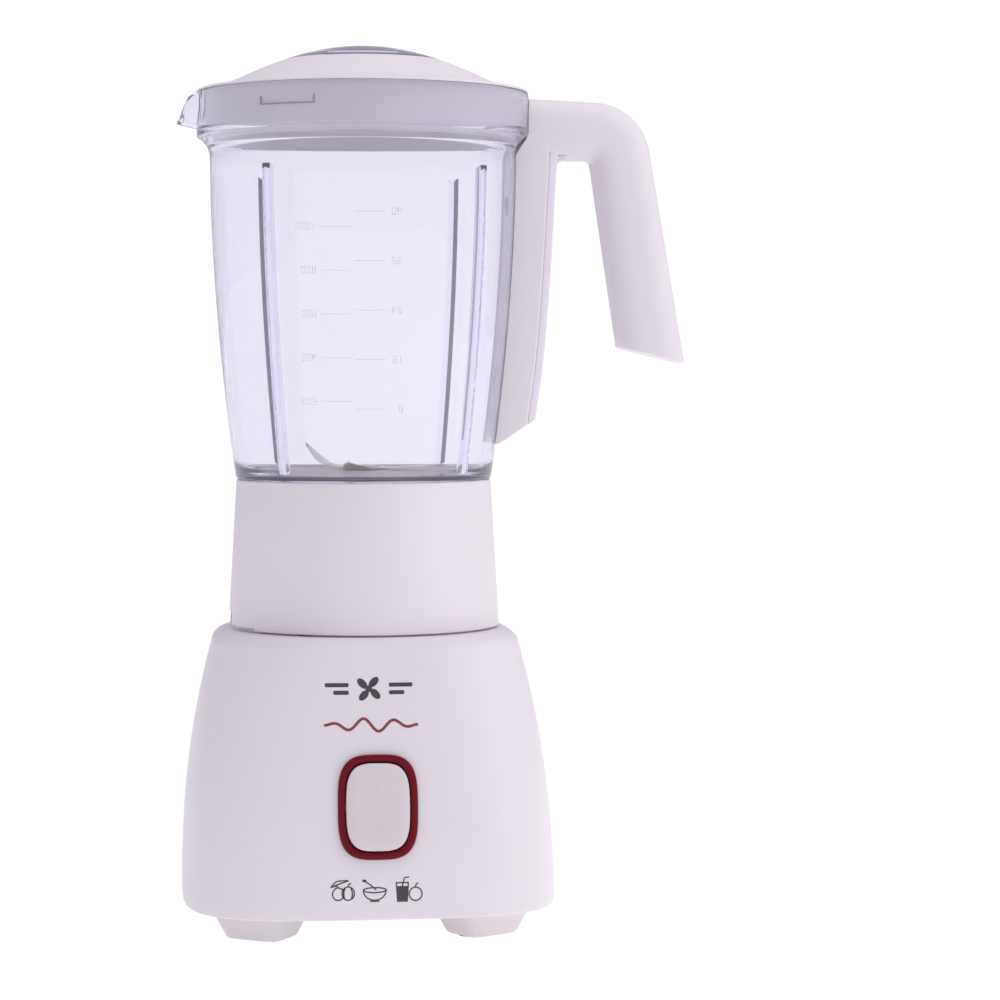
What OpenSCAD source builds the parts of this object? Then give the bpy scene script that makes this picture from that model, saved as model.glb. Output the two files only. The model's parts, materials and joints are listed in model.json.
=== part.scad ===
// Countertop blender: motor base, clear jug with hook handle, lid with filler cap, blade unit.
// Origin: on the table plane, under the drive axis. +Z up, switch faces -Y, handle points to +X.

/* [Base] */
// Half width of the housing at its lower edge
base_half_w = 78; // [76:0.5:80]
// Half depth of the housing at its lower edge
base_half_d = 83; // [81:0.5:85]
// Height of the deck above the table
deck_z = 125.5; // [124.5:0.5:126]
// Height of the housing's lower edge above the table
skirt_z = 13.5; // [13:0.5:15]
// How much each side of the housing draws in towards the deck
base_taper = 13; // [11:0.5:14]
// Height of the switch centre above the table
switch_z = 59; // [55:0.5:65]

/* [Collar] */
// Outer radius of the collar at its lower edge
collar_low_r = 57.8; // [57.6:0.1:59]
// Outer radius of the collar at its top edge
collar_top_r = 54.2; // [54:0.1:55]
// Height of the collar's top edge above the table
collar_top_z = 188.6; // [188.2:0.1:188.8]

/* [Jug] */
// Outer radius of the jug just above the collar
jug_low_r = 54.4; // [54.2:0.1:55]
// Outer radius of the jug just below its rim
jug_high_r = 65; // [64.5:0.25:66]
// Wall thickness of the jug
jug_wall = 2.3; // [2:0.1:2.4]
// Outer radius of the rim band
rim_r = 70.4; // [70:0.1:71]
// Height of the rim's top edge above the table
rim_z = 352; // [351.5:0.1:352.1]

/* [Lid] */
// Radius of the lid's flange
flange_r = 70.2; // [69.5:0.1:70.4]
// Height of the lid's dome above its flange
dome_rise = 18; // [17:0.5:19]
// Radius of the filler cap
cap_r = 34; // [33.5:0.25:34.5]

/* [Handle] */
// Width of the grip across the hand
grip_w = 27; // [24:1:30]
// Width of the spine that lies along the jug
spine_w = 24; // [22:1:26]

/* [Motor] */
// Radius of the motor shaft
shaft_r = 4; // [3.8:0.1:4]
// Outer radius of the armature
armature_r = 19.5; // [18.5:0.25:19.5]

/* [Hidden] */
$fn = 96;

tiny = 0.01;
touch = 0.5;          // how far unions sink into each other
wall = 2.5;           // moulded wall of the base and collar
fit_gap = 0.3;        // gap between pieces that lift off each other
run_gap = 0.05;       // radial running clearance on shafts and pins

// Housing
side_bend = 2.2;      // exponent of the side's draw-in
corner_low = 4;     // squareness of the plan at the lower edge
corner_high = 2.9;    // squareness of the plan at the deck
shoulder_h = 6;
shoulder_in = 8.5;
shoulder_z = deck_z - shoulder_h;
ring_n = 48;          // points round a lofted ring

// Turret on the deck, with the well for the coupling
turret_r = 54.8;
turret_z = 138;
well_r = 28;
well_z = 128.5;
key_angles = [0, 120, 240];
key_w = 6;

// Collar and blade unit
collar_z = deck_z + 0.7;
web_z = 158;
web_t = 3;
web_hole_r = 24;
ledge_z = 170;        // underside of the blade carrier's flange
flange_t = 2.5;
gasket_t = 2;
neck_z = ledge_z + flange_t + gasket_t + run_gap;
neck_r = 50;
neck_in_r = 47;
lug_angles = [45, 135, 225, 315];
lug_span = 24;
carrier_top = 188.2;
hub_r = 12;
bush_r = 7;
blade_z = 188.9;      // underside of the lower blade
blade_t = 1.2;
washer_t = 0.3;       // between the blades
blade_tip_z = 193;    // top of the blade shaft

// Couplings
tooth_n = 6;
tooth_w = 3.6;
star_z = 131.8;
star_h = 11.7;
star_core_r = 9;
star_r = 12.4;
socket_z = 133.5;
socket_r = 16.5;
socket_in_r = 13;
socket_tooth_r = 9.8;
socket_roof_z = 146;

// Jug
jug_z = collar_top_z + fit_gap;
shoulder_bend = 1.82; // exponent of the jug's barrel curve
barrel_top_z = 326;
rib_angles = [45, 135, 225, 315];
rib_span = 3.6;
rib_depth = 3.6;
spout_y = [15, 9.5, 6.5, 4.5, 2.4];

// Lid and cap
flange_z = rim_z + 0.2;
dome_r = 62;
plug_r = 63.2;
plug_z = 332;
skirt_r = rim_r - 3.2;
filler_r = 27.5;
filler_z = rim_z - 8;
seat_z = rim_z + 11.4; // ledge the filler cap lies above
seat_t = 2.4;
tab_angles = [59, 239];

// Cover screws, under the rubber feet
foot_x = 42;
foot_y = 46;
foot_r = 6;

// Motor
stack_z = 66;
stack_h = 30;
bore_r = armature_r + 0.7;
bearing_r = 8;
comm_z = 42;
comm_h = 14;
comm_r = 11;
screw_r = 2;
stack_screw = 27;     // half spacing of the long motor screws

// Interlock
lock_y = 41;
lock_rod_r = 2.5;
lock_z = 141;

function lerp(a, b, t) = a + (b - a) * t;
function signed_pow(v, e) = sign(v) * pow(abs(v), e);
function squircle(a, b, p, n = ring_n) =
    [for (i = [0:n - 1]) let (t = 360 * i / n)
        [a * signed_pow(cos(t), 2 / p), b * signed_pow(sin(t), 2 / p)]];

function side_t(z) = max(0, min(1, (z - skirt_z) / (shoulder_z - skirt_z)));
function half_w(z) = base_half_w - base_taper * pow(side_t(z), side_bend);
function half_d(z) = base_half_d - base_taper * 1.3 * pow(side_t(z), side_bend);
function corner(z) = lerp(corner_low, corner_high, side_t(z));
function base_ring(z, inset) =
    [for (p = squircle(half_w(z) - inset, half_d(z) - inset, corner(z))) [p.x, p.y, z]];

// Lean of the front face at the switch, and its depth there
switch_y = -half_d(switch_z);
switch_lean = atan((half_d(switch_z - 1) - half_d(switch_z + 1)) / 2);

function jug_r(z) =
    let (t = max(0, min(1, (z - jug_z) / (barrel_top_z - jug_z))))
    lerp(jug_low_r, jug_high_r, 1 - pow(1 - t, shoulder_bend));
function barrel(inset, z0, z1, n = 12) =
    [for (i = [0:n]) let (z = lerp(z0, z1, i / n)) [jug_r(z) - inset, z]];
function dome(r) = flange_z + 2 + dome_rise * pow(1 - pow(min(r, dome_r) / dome_r, 2), 1.2);
function reversed(list) = [for (i = [len(list) - 1:-1:0]) list[i]];

// Closed solid through a stack of rings that all have the same number of points
module loft(rings) {
    n = len(rings[0]);
    m = len(rings);
    sides = [for (j = [0:m - 2], i = [0:n - 1])
        let (k = (i + 1) % n, a = j * n + i, b = (j + 1) * n + i, c = (j + 1) * n + k, d = j * n + k)
        each [[a, b, c], [a, c, d]]];
    low = [[for (i = [0:n - 1]) i]];
    high = [[for (i = [n - 1:-1:0]) (m - 1) * n + i]];
    polyhedron([for (ring = rings) each ring], concat(low, sides, high));
}

module tube(r_out, r_in, z0, z1) {
    translate([0, 0, z0]) difference() {
        cylinder(r = r_out, h = z1 - z0);
        translate([0, 0, -1]) cylinder(r = r_in, h = z1 - z0 + 2);
    }
}

module ring_sector(r_out, r_in, z0, z1, mid, span) {
    rotate([0, 0, mid - span / 2]) rotate_extrude(angle = span)
        polygon([[r_in, z0], [r_out, z0], [r_out, z1], [r_in, z1]]);
}

// Places children on the front face: local +Z is outwards, local +Y runs up the face
module on_front() {
    translate([0, switch_y, switch_z]) rotate([90 - switch_lean, 0, 0]) children();
}

module switch_outline(a, b) { polygon(squircle(a, b, 3.4)); }

module at_corners(x, y) {
    for (sx = [-1, 1], sy = [-1, 1]) translate([sx * x, sy * y, 0]) children();
}

// ---- Base, outside ----

module base_skin(inset, z0, z1) {
    body = [for (i = [0:9]) base_ring(lerp(z0 + 1.2, shoulder_z, i / 9), inset)];
    round_over = [for (i = [1:5]) let (a = 18 * i)
        base_ring(shoulder_z + (z1 - shoulder_z) * sin(a), inset + shoulder_in * (1 - cos(a)))];
    loft(concat([base_ring(z0, inset + 0.8)], body, round_over));
}

module turret_keyways() {
    for (a = key_angles) rotate([0, 0, a]) translate([turret_r - 1.7, -key_w / 2 - 0.5, deck_z + tiny])
        cube([4, key_w + 1, turret_z]);
}

module housing() {
    boss_r = 4;
    motor_boss_z = 116;
    color("lavenderblush") difference() {
        union() {
            difference() {
                base_skin(0, skirt_z, deck_z);
                translate([0, 0, -1]) base_skin(wall, skirt_z, deck_z - wall + 1);
                translate([0, 0, deck_z - wall - 1]) cylinder(r = turret_r - wall, h = wall + 2);
            }
            tube(turret_r, turret_r - wall, deck_z - wall, turret_z);
            tube(turret_r, well_r, turret_z - wall, turret_z);
            tube(well_r + wall, well_r, well_z - wall, turret_z);
            tube(well_r + wall, shaft_r + 2, well_z - wall, well_z);
            tube(shaft_r + 4, shaft_r + 2, well_z - 1, well_z + 2.3);
            at_corners(foot_x, foot_y) translate([0, 0, skirt_z + 4])
                cylinder(r = boss_r, h = deck_z - wall - skirt_z - 3);
            at_corners(stack_screw, stack_screw) translate([0, 0, motor_boss_z])
                cylinder(r = 5.5, h = turret_z - wall - motor_boss_z + touch);
        }
        turret_keyways();
        translate([0, lock_y, turret_z - 2 * wall]) cylinder(r = lock_rod_r + 0.2, h = 3 * wall);
        at_corners(foot_x, foot_y) cylinder(r = 1.5, h = skirt_z + 20);
        at_corners(stack_screw, stack_screw) translate([0, 0, motor_boss_z - 1])
            cylinder(r = screw_r, h = 15);
        on_front() translate([0, 0, -12]) linear_extrude(24) switch_outline(15.4, 20.4);
        translate([0, base_half_d - 12, 32]) rotate([-90, 0, 0]) cylinder(r = 7.2, h = 24);
    }
}

// Wedge leg: its outer face looks outwards at the corner
module leg(sx, sy) {
    turn = atan2(sy * 0.85, sx * 0.53) - 90;
    translate([sx * 45.6, sy * 46.6, 0]) rotate([0, 0, turn]) hull() {
        translate([-12, -10, 1]) cube([24, 20, tiny]);
        translate([-18.5, -15, skirt_z + 1]) cube([37, 30, tiny]);
    }
}

module base_cover() {
    plate_z = skirt_z + 0.6;
    color("lavenderblush") difference() {
        union() {
            translate([0, 0, plate_z]) linear_extrude(wall)
                polygon(squircle(base_half_w - wall - 0.9, base_half_d - wall - 0.9, corner_low));
            for (sx = [-1, 1], sy = [-1, 1]) leg(sx, sy);
        }
        for (i = [-4:4]) translate([i * 6 - 1.2, -24, 0]) cube([2.4, 48, 30]);
        at_corners(foot_x, foot_y) {
            translate([0, 0, -1]) cylinder(r = foot_r + 0.1, h = 4);
            translate([0, 0, -1]) cylinder(r = 3.4, h = 14);
            translate([0, 0, -1]) cylinder(r = 1.7, h = 30);
        }
    }
}

module rubber_feet() {
    color("dimgray") at_corners(foot_x, foot_y) {
        cylinder(r = foot_r, h = 3);
        translate([0, 0, 3]) cylinder(r = 3.3, h = 3);
    }
}

module cover_screws() {
    color("silver") at_corners(foot_x, foot_y) {
        translate([0, 0, 10.5]) cylinder(r = 3, h = 2.4);
        translate([0, 0, 12.9]) cylinder(r = 1.4, h = 18);
    }
}

// ---- Switch ----

module switch_bezel() {
    color("maroon") on_front() difference() {
        union() {
            translate([0, 0, 0.15]) linear_extrude(1.6) switch_outline(16.2, 21.2);
            translate([0, 0, -9]) linear_extrude(10) switch_outline(15.2, 20.2);
        }
        translate([0, 0, -10]) linear_extrude(20) switch_outline(13.2, 18.1);
        translate([-14.8, 0, -2]) rotate([0, 90, 0]) cylinder(r = 1.5 + run_gap, h = 29.6);
    }
}

module rocker() {
    color("lavenderblush") on_front() {
        difference() {
            intersection() {
                translate([0, 0, -4.5]) linear_extrude(7.2) switch_outline(12.6, 17.3);
                translate([-20, 0, -2]) rotate([0, 90, 0]) cylinder(r = 17.3, h = 40);
            }
            translate([-10, -14, -5.5]) cube([20, 28, 3.2]);
        }
        for (x = [-14.6, 12]) translate([x, 0, -2]) rotate([0, 90, 0]) cylinder(r = 1.5, h = 2.6);
        for (y = [-8, 0, 8]) translate([-1.2, y - 0.3, 2.6]) cube([2.4, 0.6, 0.35]);
    }
}

module switch_body() {
    color("darkslategray") on_front() {
        translate([-14.6, -19.6, -12]) cube([29.2, 39.2, 2.9]);
        translate([-11, -15, -27]) cube([22, 30, 15.2]);
        for (y = [-10, 0, 10]) translate([-3, y - 0.4, -34]) cube([6, 0.8, 7.2]);
    }
}

module cord_gland() {
    gland_y = half_d(32);
    color("dimgray") translate([0, gland_y, 32]) rotate([-90, 0, 0]) difference() {
        union() {
            translate([0, 0, -8]) cylinder(r = 7, h = 10);
            translate([0, 0, 0.4]) cylinder(r = 8.6, h = 2);
            translate([0, 0, -10.5]) cylinder(r = 8.6, h = 7.2);
            translate([0, 0, 2]) cylinder(r1 = 6.4, r2 = 5, h = 10);
        }
        translate([0, 0, -12]) cylinder(r = 3.2, h = 26);
    }
}

module suppressor() {
    color("gold") translate([-52, 18, 40]) {
        cube([10, 18, 12]);
        for (y = [3, 15]) translate([5, y, -6]) cylinder(r = 0.5, h = 7);
    }
}

// ---- Motor, fixed ----

module motor_stator() {
    color("slategray") difference() {
        translate([-33, -33, stack_z]) cube([66, 66, stack_h]);
        translate([0, 0, stack_z - 1]) cylinder(r = bore_r, h = stack_h + 2);
        for (s = [-1, 1]) translate([s * 21 - 5, -18, stack_z - 1]) cube([10, 36, stack_h + 2]);
        at_corners(stack_screw, stack_screw) translate([0, 0, stack_z - 1])
            cylinder(r = screw_r + 0.2, h = stack_h + 2);
    }
}

module field_coils() {
    color("peru") for (s = [-1, 1]) translate([s * 21, 0, 0]) difference() {
        translate([-4.6, -17.6, stack_z - 7]) cube([9.2, 35.2, stack_h + 14]);
        translate([-s * 21, 0, stack_z - 8]) cylinder(r = bore_r + 0.3, h = stack_h + 16);
    }
}

module bridge(z, t) {
    difference() {
        union() {
            for (a = [45, 135]) rotate([0, 0, a]) translate([-42, -6, z]) cube([84, 12, t]);
            translate([0, 0, z]) cylinder(r = 15, h = t);
        }
        at_corners(stack_screw, stack_screw) translate([0, 0, z - 1]) cylinder(r = screw_r + 0.2, h = t + 2);
    }
}

module upper_bracket() {
    color("gainsboro") difference() {
        union() {
            bridge(106, 4);
            translate([0, 0, 106]) cylinder(r = 12, h = 12);
            at_corners(stack_screw, stack_screw) tube(5, screw_r + 0.2, stack_z + stack_h, 106 + touch);
        }
        translate([0, 0, 104]) cylinder(r = shaft_r + 1, h = 20);
        translate([0, 0, 110]) cylinder(r = bearing_r, h = 10);
    }
}

module lower_bracket() {
    color("gainsboro") difference() {
        union() {
            bridge(34, 4);
            translate([-28, -5, 34]) cube([56, 10, 4]);
            translate([0, 0, 30]) cylinder(r = 12, h = 8);
            at_corners(stack_screw, stack_screw) tube(5, screw_r + 0.2, 38 - touch, stack_z);
        }
        translate([0, 0, 29]) cylinder(r = shaft_r + 1, h = 12);
        translate([0, 0, 29]) cylinder(r = bearing_r, h = 7);
    }
}

module upper_bearing() { color("silver") tube(bearing_r, shaft_r + run_gap, 110, 116); }

module lower_bearing() { color("silver") tube(bearing_r, shaft_r + run_gap, 30, 36); }

module motor_screws() {
    color("silver") at_corners(stack_screw, stack_screw) {
        translate([0, 0, 30.5]) cylinder(r = 3.6, h = 3.5);
        translate([0, 0, 34]) cylinder(r = screw_r - run_gap, h = 94);
    }
}

module motor_mounts() {
    color("dimgray") at_corners(stack_screw, stack_screw) tube(5.5, screw_r + 0.2, 110, 116);
}

module brush_holders() {
    color("burlywood") for (s = [-1, 1]) rotate([0, 0, s < 0 ? 180 : 0]) difference() {
        union() {
            translate([comm_r + 2, -5, comm_z + 2]) cube([26, 10, 9]);
            translate([comm_r + 8, -4, 38]) cube([6, 8, 7]);
        }
        translate([comm_r, -3.2, comm_z + 3.8]) cube([26.5, 6.4, 5.6]);
    }
}

module carbon_brushes() {
    color("black") for (s = [-1, 1]) rotate([0, 0, s < 0 ? 180 : 0]) difference() {
        translate([comm_r - 1, -3.1, comm_z + 4]) cube([15, 6.2, 5.2]);
        translate([0, 0, comm_z]) cylinder(r = comm_r + 0.15, h = comm_h);
    }
}

// Coil spring along +Z from z = 0, swept as rings of a low-sided wire
module coil_spring(r, wire_r, h, turns) {
    steps = 14;
    sides = 6;
    loft([for (i = [0:turns * steps])
        let (a = 360 * i / steps, z = lerp(wire_r, h - wire_r, i / (turns * steps)))
        [for (k = [0:sides - 1]) let (b = -360 * k / sides, q = r + wire_r * cos(b))
            [q * cos(a), q * sin(a), z + wire_r * sin(b)]]]);
}

module brush_springs() {
    color("silver") for (s = [-1, 1]) rotate([0, 0, s < 0 ? 180 : 0])
        translate([comm_r + 14.1, 0, comm_z + 6.6]) rotate([0, 90, 0]) coil_spring(2, 0.35, 12, 5);
}

// ---- Motor, turning ----

module motor_shaft() {
    color("silver") translate([0, 0, 20]) cylinder(r = shaft_r, h = 119);
}

module armature_core() {
    slot_n = 12;
    color("slategray") difference() {
        tube(armature_r, shaft_r, stack_z, stack_z + stack_h);
        for (i = [0:slot_n - 1]) rotate([0, 0, i * 360 / slot_n]) translate([12, -1.4, stack_z - 1])
            cube([armature_r, 2.8, stack_h + 2]);
    }
}

module armature_windings() {
    color("chocolate") {
        tube(18, shaft_r, stack_z - 7, stack_z);
        tube(18, shaft_r, stack_z + stack_h, stack_z + stack_h + 8);
    }
}

module commutator() {
    bar_n = 24;
    color("orange") difference() {
        tube(comm_r, shaft_r, comm_z, comm_z + comm_h);
        for (i = [0:bar_n - 1]) rotate([0, 0, i * 360 / bar_n]) translate([comm_r - 1, -0.3, comm_z - 1])
            cube([3, 0.6, comm_h + 2]);
    }
}

module cooling_fan() {
    blade_n = 9;
    color("ivory") {
        tube(8, shaft_r, 20, 28.5);
        tube(32, 7.5, 20, 21.6);
        for (i = [0:blade_n - 1]) rotate([0, 0, i * 360 / blade_n]) translate([7.5, -0.8, 21])
            cube([24, 1.6, 7]);
    }
}

module drive_coupling() {
    color("dimgray") difference() {
        translate([0, 0, star_z]) union() {
            cylinder(r = star_core_r, h = star_h);
            intersection() {
                cylinder(r = star_r, h = star_h);
                for (i = [0:tooth_n - 1]) rotate([0, 0, i * 360 / tooth_n]) translate([0, -tooth_w / 2, 0])
                    cube([20, tooth_w, star_h]);
            }
        }
        translate([0, 0, star_z - 1]) cylinder(r = shaft_r, h = 8.2);
    }
}

// ---- Interlock ----

module interlock_guide() {
    color("ivory") translate([0, lock_y, 0]) difference() {
        union() {
            translate([0, 0, 110]) cylinder(r = 7, h = turret_z - wall - 110 - 0.1);
            translate([-11, -4, 92]) cube([22, 2, 22]);
        }
        translate([0, 0, 112]) cylinder(r = 5, h = 30);
        translate([0, 0, 90]) cylinder(r = lock_rod_r + 0.2, h = 25);
    }
}

module interlock_plunger() {
    color("firebrick") translate([0, lock_y, 0]) {
        translate([0, 0, 104]) cylinder(r = lock_rod_r, h = lock_z - 104);
        translate([0, 0, 128]) cylinder(r = 4.6, h = 1.6);
    }
}

module interlock_spring() {
    color("silver") translate([0, lock_y, 112.1]) coil_spring(3.7, 0.45, 15.7, 6);
}

module microswitch() {
    color("black") translate([0, lock_y, 0]) {
        translate([-10, -1.9, 93]) cube([20, 6.4, 9.6]);
        for (x = [-8, 0, 8]) translate([x - 0.4, 0, 88]) cube([0.8, 3, 5.5]);
        translate([-1.5, 0, 102]) cube([3, 2.4, 1.6]);
    }
}

// ---- Collar and blade unit ----

module collar() {
    notch_w = 21;
    notch_h = 7;
    stop_span = 3;
    color("lavenderblush") difference() {
        union() {
            rotate_extrude() polygon([
                [turret_r + 0.4, collar_z], [collar_low_r, collar_z], [collar_top_r, collar_top_z - 0.6],
                [collar_top_r - 0.6, collar_top_z], [52.2, collar_top_z], [52.2, ledge_z], [44.4, ledge_z],
                [44.4, web_z + web_t + 5], [50.5, web_z + web_t], [web_hole_r, web_z + web_t],
                [web_hole_r, web_z],
                [53, web_z], [turret_r + 0.4, turret_z + 4]
            ]);
            for (a = key_angles) rotate([0, 0, a]) translate([turret_r - 1.2, -key_w / 2, collar_z + 1])
                cube([2.2, key_w, 9]);
            for (a = lug_angles) {
                ring_sector(52.6, 50.4, 180.2, 183.2, a, lug_span);
                ring_sector(52.6, 50.4, 175.8, 183.2, a - lug_span / 2 - stop_span, stop_span);
            }
            translate([-4, lock_y - 4, lock_z]) cube([8, 8, web_z - lock_z + 1]);
        }
        translate([-65, -notch_w / 2, collar_z - 1]) cube([15, notch_w, notch_h - 1]);
        translate([-65, -notch_w / 2 + 2, collar_z - 1]) cube([15, notch_w - 4, notch_h + 1]);
        for (s = [-1, 1]) translate([-65, s * (notch_w / 2 - 2), collar_z + notch_h - 2]) rotate([0, 90, 0])
            cylinder(r = 2, h = 15);
        ring_sector(collar_low_r + 2, turret_r - 1, collar_z - 1, collar_z + 1.2, 201, 26);
    }
}

module blade_carrier() {
    color("rosybrown") {
        tube(50.3, 44, ledge_z, ledge_z + flange_t);
        tube(46.5, 43.8, ledge_z + flange_t - touch, carrier_top);
        tube(46.5, bush_r, carrier_top - 2.4, carrier_top);
        tube(hub_r, bush_r, web_z + 0.4, carrier_top);
        for (i = [0:5]) rotate([0, 0, i * 60]) translate([hub_r - 1, -1, carrier_top - 12]) cube([34, 2, 11]);
    }
}

module jug_gasket() { color("white") tube(49.8, 46.7, ledge_z + flange_t, neck_z); }

module shaft_bushes() {
    color("darkgoldenrod") {
        tube(bush_r, shaft_r + run_gap, web_z + 0.4, 168);
        tube(bush_r, shaft_r + run_gap, 174, 184);
    }
}

module shaft_seal() { color("black") tube(bush_r, shaft_r + run_gap, 184.4, carrier_top - 0.2); }

module blade_shaft() { color("silver") translate([0, 0, 148]) cylinder(r = shaft_r, h = blade_tip_z - 148); }

// One pressed blade: wing_a rises or falls at its tip by up_a, the other by up_b
module blade(reach_a, reach_b, up_a, up_b) {
    hub = 8;
    n = 6;
    function lift(d, reach, up) = d <= hub ? 0 : up * pow((d - hub) / (reach - hub), 1.5);
    left = [for (i = [n:-1:0]) let (d = lerp(hub, reach_a, i / n)) [-d, lift(d, reach_a, up_a)]];
    right = [for (i = [0:n]) let (d = lerp(hub, reach_b, i / n)) [d, lift(d, reach_b, up_b)]];
    line = concat(left, right);
    difference() {
        intersection() {
            translate([0, 20, 0]) rotate([90, 0, 0]) linear_extrude(40)
                polygon(concat(line, reversed([for (p = line) [p.x, p.y + blade_t]])));
            translate([0, 0, -10]) linear_extrude(40) polygon([
                [-reach_a, -1], [-reach_a + 6, -6], [-hub, -7], [hub, -7], [reach_b, -5.5], [reach_b, 0],
                [reach_b - 6, 6], [hub, 7], [-hub, 7], [-reach_a + 2, 2.5]
            ]);
        }
        translate([0, 0, -1]) cylinder(r = shaft_r, h = 10);
    }
}

module lower_blade() { color("silver") translate([0, 0, blade_z]) rotate([0, 0, 72]) blade(26, 27, 7, 0); }

module upper_blade() {
    color("silver") translate([0, 0, blade_z + blade_t + washer_t]) rotate([0, 0, -22])
        blade(26, 31, 12.5, 2);
}

module blade_washers() {
    color("silver") {
        tube(6.5, shaft_r, carrier_top + 0.2, blade_z);
        tube(6.5, shaft_r, blade_z + blade_t, blade_z + blade_t + washer_t);
    }
}

module blade_nut() {
    nut_z = blade_z + 2 * blade_t + washer_t;
    color("gainsboro") difference() {
        translate([0, 0, nut_z]) intersection() {
            cylinder(r = 6.6, h = 2.2, $fn = 6);
            translate([0, 0, -9.4]) sphere(r = 12);
        }
        translate([0, 0, nut_z - 1]) cylinder(r = shaft_r, h = blade_tip_z - nut_z + 1);
    }
}

module shaft_circlip() { color("gray") tube(6, shaft_r, 156.6, 157.6); }

module jug_coupling() {
    color("dimgray") union() {
        tube(socket_r, socket_in_r, socket_z, socket_roof_z + 1);
        difference() {
            union() {
                translate([0, 0, socket_roof_z]) cylinder(r = socket_r, h = 3);
                translate([0, 0, socket_roof_z]) cylinder(r = 8, h = 10.4);
            }
            translate([0, 0, 148]) cylinder(r = shaft_r, h = 10);
        }
        difference() {
            for (i = [0:tooth_n - 1]) rotate([0, 0, (i + 0.5) * 360 / tooth_n])
                translate([socket_tooth_r - 0.4, -tooth_w / 2, socket_z])
                    cube([4, tooth_w, socket_roof_z - socket_z + 0.5]);
            translate([0, 0, socket_z - 1]) cylinder(r = socket_tooth_r, h = 20);
        }
    }
}

// ---- Jug ----

module spout_hull(grow, z_low, lift) {
    xs = [-66, -72.9, -75.5, -77.2, -78.6];
    tops = [353, 350.9, 346.6, 342.4, 338.9];
    hull() for (i = [0:4]) translate([xs[i] - grow, -spout_y[i] - grow, z_low + 0.75 * i])
        cube([tiny, 2 * (spout_y[i] + grow), tops[i] + lift - z_low - 0.75 * i]);
}

module handle_bosses(r, grow) {
    for (p = [[305, 71], [232, 67]]) translate([p.y - 10 + grow, 0, p.x]) rotate([0, 90, 0])
        cylinder(r = r, h = 10);
}

module jug() {
    inner = barrel(jug_wall, jug_z + 3, barrel_top_z);
    color("lavender", 0.5) {
        difference() {
            union() {
                rotate_extrude() polygon(concat(
                    [[neck_r, neck_z], [neck_r, jug_z], [jug_low_r - 0.6, jug_z]],
                    barrel(0, jug_z + 0.6, barrel_top_z),
                    [[jug_high_r + 0.8, 329], [rim_r - 1, 332.5], [rim_r, 335.5], [rim_r, rim_z - 0.6],
                     [rim_r - 0.6, rim_z], [rim_r - 2.3, rim_z], [rim_r - 2.4, 336.5], [rim_r - 3.6, 333.8],
                     [jug_high_r - jug_wall + 0.4, 328.5]],
                    reversed(inner),
                    [[jug_low_r - jug_wall - 1, jug_z + 1.8], [neck_in_r, jug_z + 1.6], [neck_in_r, neck_z]]
                ));
                for (a = lug_angles) ring_sector(51.8, neck_r - touch, 176, 179, a, lug_span);
                handle_bosses(4, 0);
                difference() {
                    intersection() {
                        spout_hull(0, 335.6, 0);
                        translate([-90, -20, 330]) cube([24, 40, rim_z - 330]);
                    }
                    translate([0, 0, 330]) cylinder(r = rim_r - 2.2, h = 30);
                }
            }
            spout_hull(-1.9, 337.4, 20);
            translate([-72, -12.5, 337.4]) cube([12, 25, 30]);
            translate([0, 0, jug_z + 3]) rotate_extrude() polygon(concat(
                [[0, 0]], [for (p = inner) [p.x, p.y - jug_z - 3]], [[0, barrel_top_z - jug_z - 3]]));
            for (seat = screw_seats) translate([seat.y - 7.5, 0, seat.x]) rotate([0, 90, 0])
                cylinder(r = 1.4, h = 20);
        }
        for (a = rib_angles) rotate([0, 0, a - rib_span / 2]) rotate_extrude(angle = rib_span)
            polygon(concat(barrel(jug_wall - touch, jug_z + 3, 320),
                           reversed(barrel(jug_wall + rib_depth, jug_z + 3, 320))));
    }
}

// ---- Handle ----

strip_t = 3.4;
screw_seats = [[305, 74.6], [232, 69.3]]; // height and X of each screw head's seat
spine_edge = [[82, 324], [78.9, 270.5], [75.9, 236], [72.8, 214]];
spine_foot = [56, 202.7];
strip_foot = [spine_edge[3].x - strip_t,
              lerp(spine_edge[3].y, spine_foot.y, strip_t / (spine_edge[3].x - spine_foot.x))];
grip_in = [[97.3, 324.4], [109.2, 244.6]];
grip_out = [[123.9, 327.9], [138.5, 237.6]];

function grip_section(inner, outer) =
    let (mid = (inner + outer) / 2, half = norm(outer - inner) / 2, dir = (outer - inner) / (2 * half))
    [for (p = squircle(half, grip_w / 2, 2.8, 32)) [mid.x + p.x * dir.x, p.y, mid.y + p.x * dir.y]];

module handle_grip() {
    arm = [for (x = [64, 80, 90]) grip_section([x, 324.4], [x, 350.8 - (x - 64) / 28])];
    bend = [for (i = [0:6]) let (a = lerp(90, 9, i / 6))
        grip_section([lerp(94.5, 97.5, i / 6), 324.4 - 3 * pow(i / 6, 2)],
                     [99 + 25.2 * cos(a), 324 + 25.2 * sin(a)])];
    grip = [for (i = [1:5])
        grip_section(lerp(grip_in[0], grip_in[1], i / 5), lerp(grip_out[0], grip_out[1], i / 5))];
    loft(reversed(concat(arm, bend, grip)));
}

module jug_clearance() {
    rotate_extrude() polygon(concat(
        [[0, 150]], [[jug_low_r + 0.2, 150]],
        [for (p = barrel(-0.2, jug_z, barrel_top_z)) p],
        [[jug_high_r + 1.1, 328.8], [rim_r - 0.7, 332.4], [rim_r + 0.2, 335.4], [rim_r + 0.2, 360], [0, 360]]
    ));
}

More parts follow.
